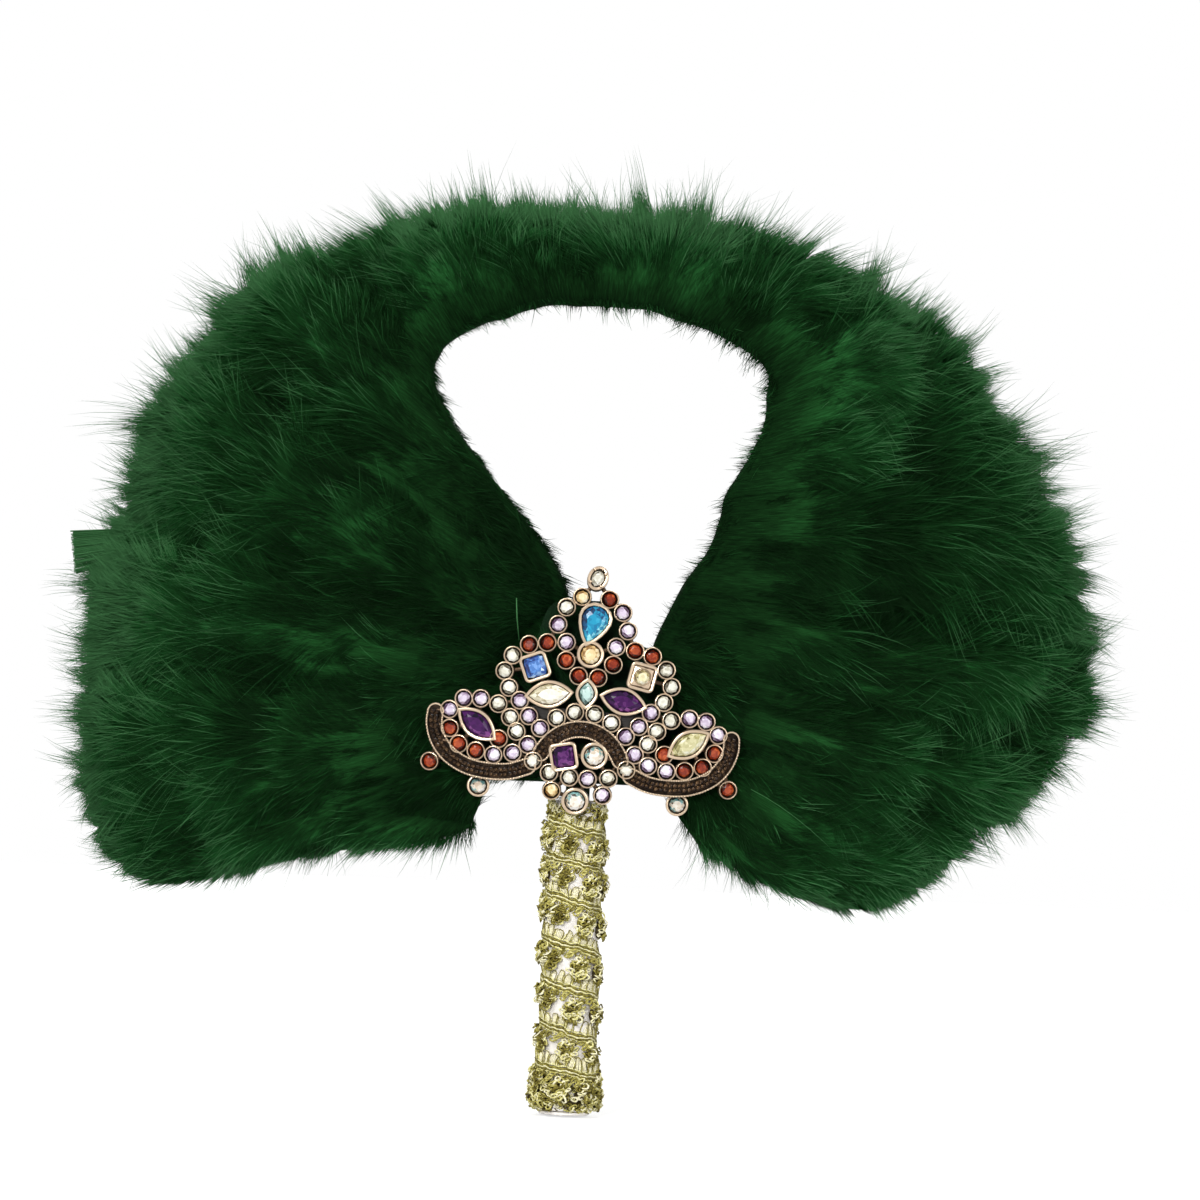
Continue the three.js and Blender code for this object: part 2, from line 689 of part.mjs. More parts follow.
// Channel rails, as shares of the half span along their middle lines
const armShares = [
  [0.952, 0], [0.953, -0.078], [0.917, -0.179], [0.84, -0.267], [0.717, -0.328],
  [0.577, -0.346], [0.443, -0.335], [0.331, -0.292],
];
const archShares = [[0.256, -0.2], [0.215, -0.135], [0.154, -0.074], [0.077, -0.035]];
const archPath = [
  ...archShares.map(([x, y]) => [-x, y]), [0, -0.023], ...archShares.slice().reverse(),
];
const rails = [
  ['left_channel_stones', armShares.map(([x, y]) => [-x, y])],
  ['middle_channel_stones', archPath],
  ['right_channel_stones', armShares],
].map(([name, shares]) => {
  const points = shares.map(([x, y]) => new THREE.Vector3(x * broochSpan, y * broochSpan, 0));
  return { name, curve: new THREE.CatmullRomCurve3(points) };
});

// The outline of a band along a curve, with round ends.
function bandOutline(curve, width) {
  const steps = 12;
  const across = (share) => {
    const tangent = curve.getTangent(share);
    return new THREE.Vector2(-tangent.y, tangent.x).multiplyScalar(width / 2);
  };
  const middle = (share) => {
    const point = curve.getPoint(share);
    return new THREE.Vector2(point.x, point.y);
  };
  const along = Array.from({ length: steps + 1 }, (_, i) => i / steps);
  const left = along.map((share) => middle(share).add(across(share)));
  const right = along.map((share) => middle(share).sub(across(share))).reverse();
  const centre = new THREE.Vector2();
  const cap = (share, start) => [1, 2].map((i) => (
    middle(share).add(across(share).rotateAround(centre, start - i * Math.PI / 3))));
  return [...left, ...cap(1, 0), ...right, ...cap(0, Math.PI)];
}

function smallSetting(x, y) {
  const inner = bezelRadius - bezelWall;
  const profile = [
    [0, 0], [bezelRadius, 0], [bezelRadius, castingHeight], [inner, castingHeight - bezelDip],
    [0, castingHeight + domeStoneRise],
  ].map(([radius, height]) => new THREE.Vector2(radius, height));
  return solid(new THREE.LatheGeometry(profile, 8).rotateX(Math.PI / 2).translate(x, y, 0));
}

// A bar of the lattice that ties two settings whose rims don't meet.
function latticeBar(from, to) {
  const length = from.distanceTo(to);
  const bar = new THREE.BoxGeometry(length, barWidth, barWidth);
  const turn = Math.atan2(to.y - from.y, to.x - from.x);
  return solid(bar.rotateZ(turn).translate((from.x + to.x) / 2, (from.y + to.y) / 2, barWidth / 2));
}

// Settings whose rims overlap are one group already; the shortest bars join the groups. Gaps are
// rounded, so that a mirrored pair ranks alike.
function lattice(settings) {
  const group = settings.map((_, i) => i);
  const find = (i) => (group[i] === i ? i : find(group[i]));
  const pairs = [];
  settings.forEach((from, i) => settings.slice(i + 1).forEach((to, j) => {
    const apart = from.centre.distanceTo(to.centre) - from.radius - to.radius;
    const between = Math.round(apart / bezelRadius * rankSteps) / rankSteps * bezelRadius;
    pairs.push({ between, first: i, second: i + 1 + j });
  }));
  pairs.sort((a, b) => a.between - b.between);
  const bars = [];
  pairs.forEach(({ between, first, second }) => {
    if (find(first) === find(second)) return;
    group[find(first)] = find(second);
    if (between > -rimOverlap) bars.push(latticeBar(settings[first].centre, settings[second].centre));
  });
  return bars;
}

function casting() {
  const centres = [];
  smallStoneShares.forEach(([x, y]) => [-1, 1].forEach((side) => {
    centres.push(new THREE.Vector2(side * x * broochSpan, y * broochSpan));
  }));
  const settings = centres.map((centre) => smallSetting(centre.x, centre.y));
  const redDrops = [-1, 1].map((side) => {
    const [x, y] = redDropShares;
    return smallSetting(side * x * broochSpan, y * broochSpan).translate([0, 0, -redDropRecess]);
  });
  const seats = largeStones.map((stone) => (
    solid(prism(offsetOutline(stone.outline, seatGap + bezelWall), 0, castingHeight))));
  const bands = rails.map((rail) => solid(prism(bandOutline(rail.curve, railWidth), 0, castingHeight)));
  const redCentres = [-1, 1].map((side) => (
    new THREE.Vector2(side * redDropShares[0], redDropShares[1]).multiplyScalar(broochSpan)));
  const railCentres = rails.flatMap((rail) => rail.curve.points.map(({ x, y }) => new THREE.Vector2(x, y)));
  const links = lattice([
    ...centres.concat(redCentres).map((centre) => ({ centre, radius: bezelRadius })),
    ...largeStones.map(({ x, y, radius }) => ({ centre: new THREE.Vector2(x, y), radius })),
    ...railCentres.map((centre) => ({ centre, radius: railWidth / 2 })),
  ]);
  const metal = joined([...settings, ...redDrops, ...seats, ...bands, ...links]);
  const pocketTop = castingHeight + cutOverrun;
  const pockets = largeStones.map((stone) => (
    solid(prism(offsetOutline(stone.outline, seatGap), castingFloor, pocketTop))));
  const channelWidth = railWidth - 2 * railWall;
  const channels = rails.map((rail) => (
    solid(prism(bandOutline(rail.curve, channelWidth), castingFloor, pocketTop))));
  return metal.subtract(joined([...pockets, ...channels]));
}

// Studs behind the rails for the hanging drops, and pads behind the middle for the pin bar

const eyeReach = dropDiameter / 2 + dropNeck;
const eyeSlack = dropEyeRadius - dropEyeWire - studRadius - seatGap;
const studs = [-1, 1].map((side) => {
  const x = side * hangingDropShares[0] * broochSpan;
  const y = hangingDropShares[1] * broochSpan + eyeReach + eyeSlack;
  return { x, y, depth: domeAt(x, y) };
});
const cupMiddleDepth = dropStandOff + dropCupHeight / 2;

function stud({ x, y, depth }) {
  const neck = cupMiddleDepth + dropEyeWire + seatGap;
  const shaft = cylinderAlongZ(studRadius, -neck - studHeadThickness, castingFloor / 2, 12);
  const head = cylinderAlongZ(studHeadRadius, -neck - studHeadThickness, -neck, 12);
  return solid(shaft).add(solid(head)).translate([x, y, depth]);
}

function pinPad(side) {
  const x = side * padSpread;
  const low = pinBarDepth + pinBarThickness + seatGap;
  const high = domeAt(x, pinRise) + castingFloor;
  return solid(boxBetween(
    new THREE.Vector3(x - padWidth / 2, pinRise - padHeight / 2, low),
    new THREE.Vector3(x + padWidth / 2, pinRise + padHeight / 2, high),
  ));
}

const domedCasting = solid(bent(geometryOf(casting())));
const wholeCasting = joined([domedCasting, ...studs.map(stud), pinPad(-1), pinPad(1)]);
addPiece('brooch_casting', standUp(geometryOf(wholeCasting)), 'roseGold', brooch);

function cutStone(outline, bottom, top) {
  const cut = {
    depth: top - bottom - 2 * stoneBevel,
    bevelThickness: stoneBevel,
    bevelSize: stoneBevel,
    bevelOffset: -stoneBevel,
    bevelSegments: 1,
  };
  return new THREE.ExtrudeGeometry(new THREE.Shape(outline), cut).translate(0, 0, bottom + stoneBevel);
}

largeStones.forEach(({ name, finish, x, y, outline }) => {
  const stone = cutStone(outline, castingFloor + seatGap, castingHeight + stoneProud);
  addPiece(name, standUp(tilted(stone, x, y)), finish, brooch);
});

rails.forEach(({ name, curve }) => {
  const width = railWidth - 2 * railWall - 2 * seatGap;
  const row = prism(bandOutline(curve, width), castingFloor + seatGap, castingHeight - bezelDip);
  addPiece(name, standUp(bent(row)), 'darkStone', brooch);
});

// Hanging drops: each cup has an eye that hangs on its stud, and hangs straight down

function dropCup() {
  const outline = roundOutline(dropDiameter, 16);
  const pocket = offsetOutline(roundOutline(dropStoneDiameter, 16), seatGap);
  const floor = -dropCupHeight / 2 + castingFloor / 2;
  const cup = solid(prism(outline, -dropCupHeight / 2, dropCupHeight / 2));
  const eye = new THREE.TorusGeometry(dropEyeRadius, dropEyeWire, 6, 12).translate(0, eyeReach, 0);
  return cup.add(solid(eye)).subtract(solid(prism(pocket, floor, dropCupHeight + cutOverrun)));
}

['left', 'right'].forEach((side, i) => {
  const drop = new THREE.Group();
  const { x, y, depth } = studs[i];
  const hinge = new THREE.Vector3(x, -depth, y).applyAxisAngle(new THREE.Vector3(0, 1, 0), -broochLean);
  drop.position.copy(hinge.add(broochCentre));
  drop.position.y += cupMiddleDepth;
  drop.position.z -= eyeSlack + eyeReach;
  fan.add(drop);
  const floor = -dropCupHeight / 2 + castingFloor / 2;
  const stone = cutStone(roundOutline(dropStoneDiameter, 16), floor + seatGap,
    dropCupHeight / 2 + dropStoneProud);
  addPiece(side + '_drop_cup', standUp(geometryOf(dropCup())), 'roseGold', drop);
  addPiece(side + '_drop_stone', standUp(stone), 'clearStone', drop);
});

// Pin back: a bar behind the brooch, with the hinge ears of the pin's stem at its left end and
// the round catch with its safety rotor at its right

const hingeX = -pinHingeReach;
const catchX = pinHingeReach - catchLength;
const earHalf = pinBarrelRadius;

function pinHinge(radius, height) {
  return new THREE.CylinderGeometry(radius, radius, height, 12).translate(hingeX, pinRise, pinAxisDepth);
}

function catchTube(radius, start, length, segments) {
  return new THREE.CylinderGeometry(radius, radius, length, segments)
    .rotateZ(Math.PI / 2)
    .translate(start + length / 2, pinRise, pinAxisDepth);
}

function catchMouth(start, length, width) {
  return solid(boxBetween(
    new THREE.Vector3(start - cutOverrun, pinRise - width / 2, pinAxisDepth - 2 * catchRadius),
    new THREE.Vector3(start + length + cutOverrun, pinRise + width / 2, pinAxisDepth),
  ));
}

function pinBar() {
  const bar = solid(boxBetween(
    new THREE.Vector3(-pinBarLength / 2, pinRise - pinBarWidth / 2, pinBarDepth),
    new THREE.Vector3(pinBarLength / 2, pinRise + pinBarWidth / 2, pinBarDepth + pinBarThickness),
  ));
  const earStart = pinBarrelHeight / 2 + seatGap;
  const ears = [-1, 1].map((side) => {
    const inner = pinRise + side * earStart;
    const outer = pinRise + side * (earStart + pinEarThickness);
    return solid(boxBetween(
      new THREE.Vector3(hingeX - earHalf, Math.min(inner, outer), pinAxisDepth - earHalf),
      new THREE.Vector3(hingeX + earHalf, Math.max(inner, outer), pinBarDepth + pinBarThickness / 2),
    ));
  });
  const boreRadius = catchRadius - catchWall;
  const housing = solid(catchTube(catchRadius, catchX, catchLength, 16))
    .subtract(solid(catchTube(boreRadius, catchX - cutOverrun, catchLength + 2 * cutOverrun, 16)))
    .subtract(catchMouth(catchX, catchLength, catchSlot));
  const rivetHole = solid(pinHinge(pinRivetRadius + seatGap, pinBarWidth + 2 * cutOverrun));
  return joined([bar, ...ears]).subtract(rivetHole).add(housing);
}

function pinRivet() {
  const inner = pinBarrelHeight / 2 + seatGap + pinEarThickness + seatGap;
  const outer = inner + pinRivetHeadHeight;
  const profile = [
    [0, -outer], [pinRivetHeadRadius, -outer], [pinRivetHeadRadius, -inner], [pinRivetRadius, -inner],
    [pinRivetRadius, inner], [pinRivetHeadRadius, inner], [pinRivetHeadRadius, outer], [0, outer],
  ].map(([radius, height]) => new THREE.Vector2(radius, height));
  return new THREE.LatheGeometry(profile, 12).translate(hingeX, pinRise, pinAxisDepth);
}

function pinStem() {
  const start = hingeX + pinRivetRadius + 2 * seatGap;
  const length = pinHingeReach + seatGap / 2 - start;
  const wire = new THREE.CylinderGeometry(pinStemTipRadius, pinStemRadius, length, 8)
    .rotateZ(-Math.PI / 2)
    .translate(start + length / 2, pinRise, pinAxisDepth);
  const barrel = solid(pinHinge(pinBarrelRadius, pinBarrelHeight));
  const bore = solid(pinHinge(pinRivetRadius + seatGap, pinBarrelHeight + cutOverrun));
  return solid(wire).add(barrel).subtract(bore);
}

function catchRotor() {
  const outer = catchRadius - catchWall - seatGap;
  const inner = outer - catchWall;
  const length = catchLength + seatGap + rotorLeverWidth;
  const tube = solid(catchTube(outer, catchX, length, 16));
  const end = catchX + length;
  const leverTop = pinRise + outer + rotorLeverLength;
  const half = rotorLeverWidth / 2;
  const lever = solid(boxBetween(
    new THREE.Vector3(end - rotorLeverWidth, pinRise + inner, pinAxisDepth - half),
    new THREE.Vector3(end, leverTop, pinAxisDepth + half),
  ));
  const bore = solid(catchTube(inner, catchX - cutOverrun, length + 2 * cutOverrun, 16));
  return tube.add(lever).subtract(bore).subtract(catchMouth(catchX, length, catchSlot - seatGap));
}

addPiece('pin_bar', standUp(geometryOf(pinBar())), 'steel', brooch);
addPiece('pin_rivet', standUp(pinRivet()), 'steel', brooch);
addPiece('pin_stem', standUp(geometryOf(pinStem())), 'steel', brooch);
addPiece('catch_rotor', standUp(geometryOf(catchRotor())), 'steel', brooch);

export default fan;
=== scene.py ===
# A rigid hand fan: a horseshoe of bottle-green marabou down, a jewelled brooch over the hub where
# its two lobes meet, and a straight handle in ivory satin wound with olive-gold lace.
import math

import bmesh
import bpy
import numpy as np
from mathutils import Matrix, Vector


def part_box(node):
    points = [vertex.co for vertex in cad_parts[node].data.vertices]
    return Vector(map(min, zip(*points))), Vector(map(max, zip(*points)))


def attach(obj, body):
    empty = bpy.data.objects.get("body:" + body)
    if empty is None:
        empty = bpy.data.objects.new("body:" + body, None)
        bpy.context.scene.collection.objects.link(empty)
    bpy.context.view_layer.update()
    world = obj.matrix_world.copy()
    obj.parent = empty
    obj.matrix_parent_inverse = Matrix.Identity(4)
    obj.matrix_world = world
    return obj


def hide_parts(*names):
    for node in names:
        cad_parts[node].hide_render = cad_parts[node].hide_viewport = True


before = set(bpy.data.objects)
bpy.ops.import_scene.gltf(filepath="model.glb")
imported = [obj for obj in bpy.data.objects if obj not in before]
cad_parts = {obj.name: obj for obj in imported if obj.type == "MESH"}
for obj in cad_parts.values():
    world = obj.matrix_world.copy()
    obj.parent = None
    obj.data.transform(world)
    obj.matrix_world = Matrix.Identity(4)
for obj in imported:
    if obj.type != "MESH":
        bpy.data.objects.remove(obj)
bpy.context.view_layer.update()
scene = bpy.context.scene
MM = 0.001


# Viewpoint: straight at the front from two metres. The fan leans to the right in the picture, so
# the camera is rolled by that lean.
def place_new(name, data):
    """A new object in the scene."""
    made = bpy.data.objects.new(name, data)
    scene.collection.objects.link(made)
    return made


LEAN = math.radians(2.5)
VIEW_CENTRE = Vector((4.65, -8.0, 172.4)) * MM
VIEW_DISTANCE = 2.0
VIEW_WIDTH = 0.4
viewpoint = bpy.data.cameras.new("viewpoint")
viewpoint.lens_unit = "FOV"
viewpoint.angle = 2 * math.atan(VIEW_WIDTH / 2 / VIEW_DISTANCE)
to_right = Vector((math.cos(LEAN), 0, math.sin(LEAN)))
to_top = Vector((-math.sin(LEAN), 0, math.cos(LEAN)))
backwards = Vector((0, -1, 0))
stance = Matrix((to_right, to_top, backwards)).transposed().to_4x4()
stance.translation = VIEW_CENTRE + backwards * VIEW_DISTANCE
scene.camera = place_new("viewpoint", viewpoint)
scene.camera.matrix_world = stance
scene.view_settings.view_transform = "Standard"


# Studio: soft lamps and an even grey sky, with a narrow lamp in front on the pale handle and the
# brooch. The camera, and what it sees in metal and glass, finds plain white behind the fan.
def lamp(name, kind, place, aim, power, **settings):
    light = bpy.data.lights.new(name, kind)
    light.energy = power
    for key, value in settings.items():
        setattr(light, key, value)
    stand = place_new(name, light)
    stand.location = place
    way = Vector(aim) - Vector(place)
    stand.rotation_euler = way.to_track_quat("-Z", "Y").to_euler()


for name, place, width, power in (("window", (-0.9, -1.5, 1.5), 0.9, 22),
                                  ("fill", (1.3, -1.3, 0.6), 1.0, 9),
                                  ("from_behind", (0.4, 1.5, 1.2), 1.0, 14)):
    lamp(name, "AREA", place, (0, 0, 0.17), power, shape="DISK", size=width)
lamp("handle_beam", "SPOT", (-0.35, -1.6, 0.45), (0, 0, 0.058), 86, shadow_soft_size=0.15,
     spot_size=math.radians(10.5), spot_blend=0.9)


class Wire:
    """An output of a node. Sums with wires add nodes to their tree."""

    def __init__(self, tree, socket):
        self.tree, self.socket = tree, socket

    def beside(self, label):
        """Another output of the same node."""
        return Wire(self.tree, self.socket.node.outputs[label])

    def sum(self, operation, other=None, more=None):
        kind = "Vector" if self.socket.type in ("VECTOR", "RGBA") else ""
        if kind and operation == "MULTIPLY" and not isinstance(other, tuple):
            return self.tree.add("ShaderNodeVectorMath", {"Vector": self, "Scale": other},
                                 operation="SCALE")
        return self.tree.add(f"ShaderNode{kind}Math", self, other, more, operation=operation)

    def cross(self, other):
        return self.sum("CROSS_PRODUCT", other)

    def unit(self):
        return self.sum("NORMALIZE")

    def __add__(self, other):
        return self.sum("ADD", other)

    def __sub__(self, other):
        return self.sum("SUBTRACT", other)

    def __mul__(self, other):
        return self.sum("MULTIPLY", other)

    def __truediv__(self, other):
        return self.sum("DIVIDE", other)


class Tree:
    """A node tree that is built one node at a time."""

    def fill(self, socket, value):
        if isinstance(value, Wire):
            self.tree.links.new(value.socket, socket)
        elif value is not None:
            socket.default_value = value

    def add(self, kind, *values, out=None, **settings):
        """A new node's output: its inputs are filled in order, or by name from a last dict."""
        node = self.tree.nodes.new(kind)
        for key, value in settings.items():
            setattr(node, key, value)
        named = values[-1] if values and isinstance(values[-1], dict) else {}
        for socket, value in zip(node.inputs, [v for v in values if not isinstance(v, dict)]):
            self.fill(socket, value)
        for label, value in named.items():
            self.fill(next(s for s in node.inputs if s.name == label and s.enabled), value)
        found = (s for s in node.outputs if s.enabled and out in (None, s.name))
        return Wire(self, next(found, None))


class Shading(Tree):
    """The shader nodes of the sky or of a material."""

    def __init__(self, owner):
        owner.use_nodes = True
        self.owner, self.tree = owner, owner.node_tree

    def rays(self, kind):
        return self.add("ShaderNodeLightPath", out=f"Is {kind} Ray")


SKY_GREY, SKY_WHITE, MIRRORED_SHARE = 0.42, 1.0, 0.75
sky = Shading(bpy.data.worlds.new("sky"))
scene.world = sky.owner
sky.tree.nodes.clear()
mirrored = sky.rays("Glossy").sum("MAXIMUM", sky.rays("Transmission"))
seen = sky.rays("Camera").sum("MAXIMUM", mirrored * MIRRORED_SHARE)
glow = sky.add("ShaderNodeMapRange", {"Value": seen, "To Min": SKY_GREY, "To Max": SKY_WHITE})
sky.add("ShaderNodeOutputWorld", sky.add("ShaderNodeBackground", (1, 1, 1, 1), glow))


# Floor: a plain white sheet under the handle's end. It glows a little for the camera, so that it
# meets the white behind the fan, and keeps the fan's soft shadow.
def mesh_object(name, points, faces, scale=1.0, domain="POINT", **values):
    """A new mesh, with values on its points or faces that are numbers or vectors."""
    mesh = bpy.data.meshes.new(name)
    mesh.from_pydata((np.asarray(points, float).reshape(-1, 3) * scale).tolist(), [], faces)
    for label, value in values.items():
        value = np.asarray(value)
        kind, key = ("FLOAT_VECTOR", "vector") if value.shape[-1] == 3 else ("FLOAT", "value")
        mesh.attributes.new(label, kind, domain).data.foreach_set(key, value.reshape(-1))
    return place_new(name, mesh)


class Finish(Shading):
    """A material and its shader, whose inputs are set by their names."""

    def __init__(self, name, colour, roughness, **inputs):
        super().__init__(bpy.data.materials.new(name))
        self.set(Base_Color=(*colour, 1), Roughness=roughness, **inputs)

    def set(self, **inputs):
        for label, value in inputs.items():
            self.fill(self.tree.nodes["Principled BSDF"].inputs[label.replace("_", " ")], value)

    def read(self, label, out="Fac"):
        return self.add("ShaderNodeAttribute", out=out, attribute_name=label)

    def spot(self, stretch=None, found=None):
        """Where a point is on the fan or on its strand, with the lengths stretched."""
        found = found or self.add("ShaderNodeTexCoord", out="Object")
        if stretch is None:
            return found
        return self.add("ShaderNodeMapping", {"Vector": found, "Scale": stretch})

    def noise(self, scale, detail=2, spot=None, distortion=0):
        return self.add("ShaderNodeTexNoise", {"Vector": spot or self.spot(), "Scale": scale,
                                               "Detail": detail, "Distortion": distortion})

    def wave(self, scale, distortion, bands="X"):
        return self.add("ShaderNodeTexWave", {"Vector": self.spot(), "Scale": scale,
                                              "Distortion": distortion}, out="Fac",
                        bands_direction=bands)

    def between(self, wire, low, high):
        return self.add("ShaderNodeMapRange", {"Value": wire, "To Min": low, "To Max": high})

    def colours(self, wire, steps):
        """The shader's colour, from (place, colour) steps."""
        ramp = self.add("ShaderNodeValToRGB", wire)
        elements = ramp.socket.node.color_ramp.elements
        while len(elements) < len(steps):
            elements.new(0.5)
        for element, (at, colour) in zip(elements, steps):
            element.position, element.color = at, (*colour, 1)
        self.set(Base_Color=ramp)

    def relief(self, height, strength, depth):
        self.set(Normal=self.add("ShaderNodeBump", {"Strength": strength, "Distance": depth,
                                                    "Height": height}))

    def on(self, *pieces):
        """Puts the finish on pieces, or on nodes of the frame instead of what they wore."""
        for piece in pieces:
            data = (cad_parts[piece] if isinstance(piece, str) else piece).data
            data.materials.clear()
            data.materials.append(self.owner)


FLOOR_HALF, FLOOR_LEVEL, FLOOR_GLOW = 1.6, -0.0006, 0.62
floor = mesh_object("floor", [(x * FLOOR_HALF, y * FLOOR_HALF, FLOOR_LEVEL) for x, y in
                              ((-1, -1), (1, -1), (1, 1), (-1, 1))], [(0, 1, 2, 3)])
paper = Finish("floor_paper", (0.55, 0.55, 0.55), 0.9, Specular_IOR_Level=0.1)
seen = paper.rays("Camera").sum("MAXIMUM", paper.rays("Glossy"))
paper.set(Emission_Color=(1, 1, 1, 1), Emission_Strength=seen * FLOOR_GLOW)
paper.on(floor)


# Down: marabou plumes glued in overlapping rows to both faces of the board, fanning out from the
# hub and the open centre. Each plume is a soft quill with hundreds of fine dyed barbs that part
# into locks.
RIBS = np.array([  # root x and z, tip x and z, fullness, length of the nap and body held in outside
    (-32.2, 103.4, -37.4, 89.8, 0.35, 0.4, 5.5), (-31.1, 112.6, -92.6, 81.6, 0.7, 0.4, 8.5),
    (-27.9, 123.8, -151.3, 75.6, 1.0, 0.55, 1.5), (-23.9, 137.7, -176.2, 140.5, 1.0, 0.9, 15.0),
    (-19.3, 153.5, -163.8, 197.4, 1.0, 0.95, 10.5), (-9.0, 179.1, -138.8, 250.1, 1.0, 0.95, 10.0),
    (-50.9, 245.7, -94.3, 288.7, 0.85, 1.0, 8.5), (-2.1, 269.0, -5.3, 304.9, 0.8, 0.84, 7.8),
    (53.0, 251.2, 96.1, 282.6, 0.85, 1.0, 8.0), (45.6, 208.0, 151.3, 223.7, 1.0, 1.0, 11.8),
    (30.7, 175.8, 174.4, 164.9, 1.0, 1.0, 11.0), (22.3, 154.7, 165.5, 126.3, 1.0, 0.9, 11.2),
    (23.9, 137.7, 140.6, 99.9, 1.0, 0.55, 8.0), (29.0, 119.9, 94.3, 75.6, 0.8, 0.4, -1.5),
    (32.2, 103.4, 42.7, 89.8, 0.35, 0.4, 4.5)])
roots, tips, (fullness, naps, holds) = RIBS[:, :2], RIBS[:, 2:4], RIBS[:, 4:].T
FIRST_ARCH_RIB, LAST_ARCH_RIB, LAST_RIB = 5, 11, len(RIBS) - 1


def through_ribs(values, place):
    """A smooth curve through one value for each rib, at a place from 0 to the last rib."""
    last = len(values) - 1
    place = np.clip(place, 0, last - 1e-9)
    low = np.floor(place).astype(int)
    share = (place - low)[(...,) + (None,) * (values.ndim - 1)]
    before, here = values[np.maximum(low - 1, 0)], values[low]
    after, beyond = values[low + 1], values[np.minimum(low + 2, last)]
    return (here + share * (after - before) / 2
            + share ** 2 * (before - 2.5 * here + 2 * after - beyond / 2)
            + share ** 3 * (1.5 * (here - after) + (beyond - before) / 2))


# From the inner edge of a rib to its outer edge, past the stretch that is pressed flat behind the
# brooch: how far along, and how full the down is there.
SWELL = np.array([(0.0, 0.0), (0.04, 0.18), (0.1, 0.38), (0.2, 0.64), (0.3, 0.8), (0.45, 0.93),
                  (0.6, 1.0), (0.72, 0.93), (0.85, 0.75), (0.93, 0.55), (1.0, 0.3)])
PRESSED_REACH, OPENING_PRESSED = 32.0, 0.05
FLAT_LEVEL, CROWN_DROP, SCALLOP = 4.4, 0.26, 5.0
INNER_ROUND, OUTER_ROUND, TURNED_IN = 4.0, 9.0, 7.5
LOCKS_PER_RIB = 34.0


def held(value):
    return np.clip(value, 0, 1)


def hill(place, middle, width):
    return np.exp(-((place - middle) / width) ** 2)


def pressed_at(place):
    """How far along a rib the down lies pressed flat."""
    at_ribs = np.minimum(PRESSED_REACH / np.linalg.norm(tips - roots, axis=-1), 0.5)
    at_ribs[FIRST_ARCH_RIB + 1:LAST_ARCH_RIB] = OPENING_PRESSED
    return np.interp(place, np.arange(len(RIBS)), at_ribs)


def smooth_grain(across, along, seed):
    """Even noise from -1 to 1 over a plane, one cell to each unit."""
    low_a, low_b = np.floor(across).astype(int), np.floor(along).astype(int)
    share_a, share_b = (s * s * (3 - 2 * s) for s in (across - low_a, along - low_b))

    def corner(a, b):
        mixed = np.sin(a * 127.1 + b * 311.7 + seed * 74.7) * 43758.5453
        return 2 * (mixed - np.floor(mixed)) - 1

    below = corner(low_a, low_b) * (1 - share_a) + corner(low_a + 1, low_b) * share_a
    above = corner(low_a, low_b + 1) * (1 - share_a) + corner(low_a + 1, low_b + 1) * share_a
    return below * (1 - share_b) + above * share_b


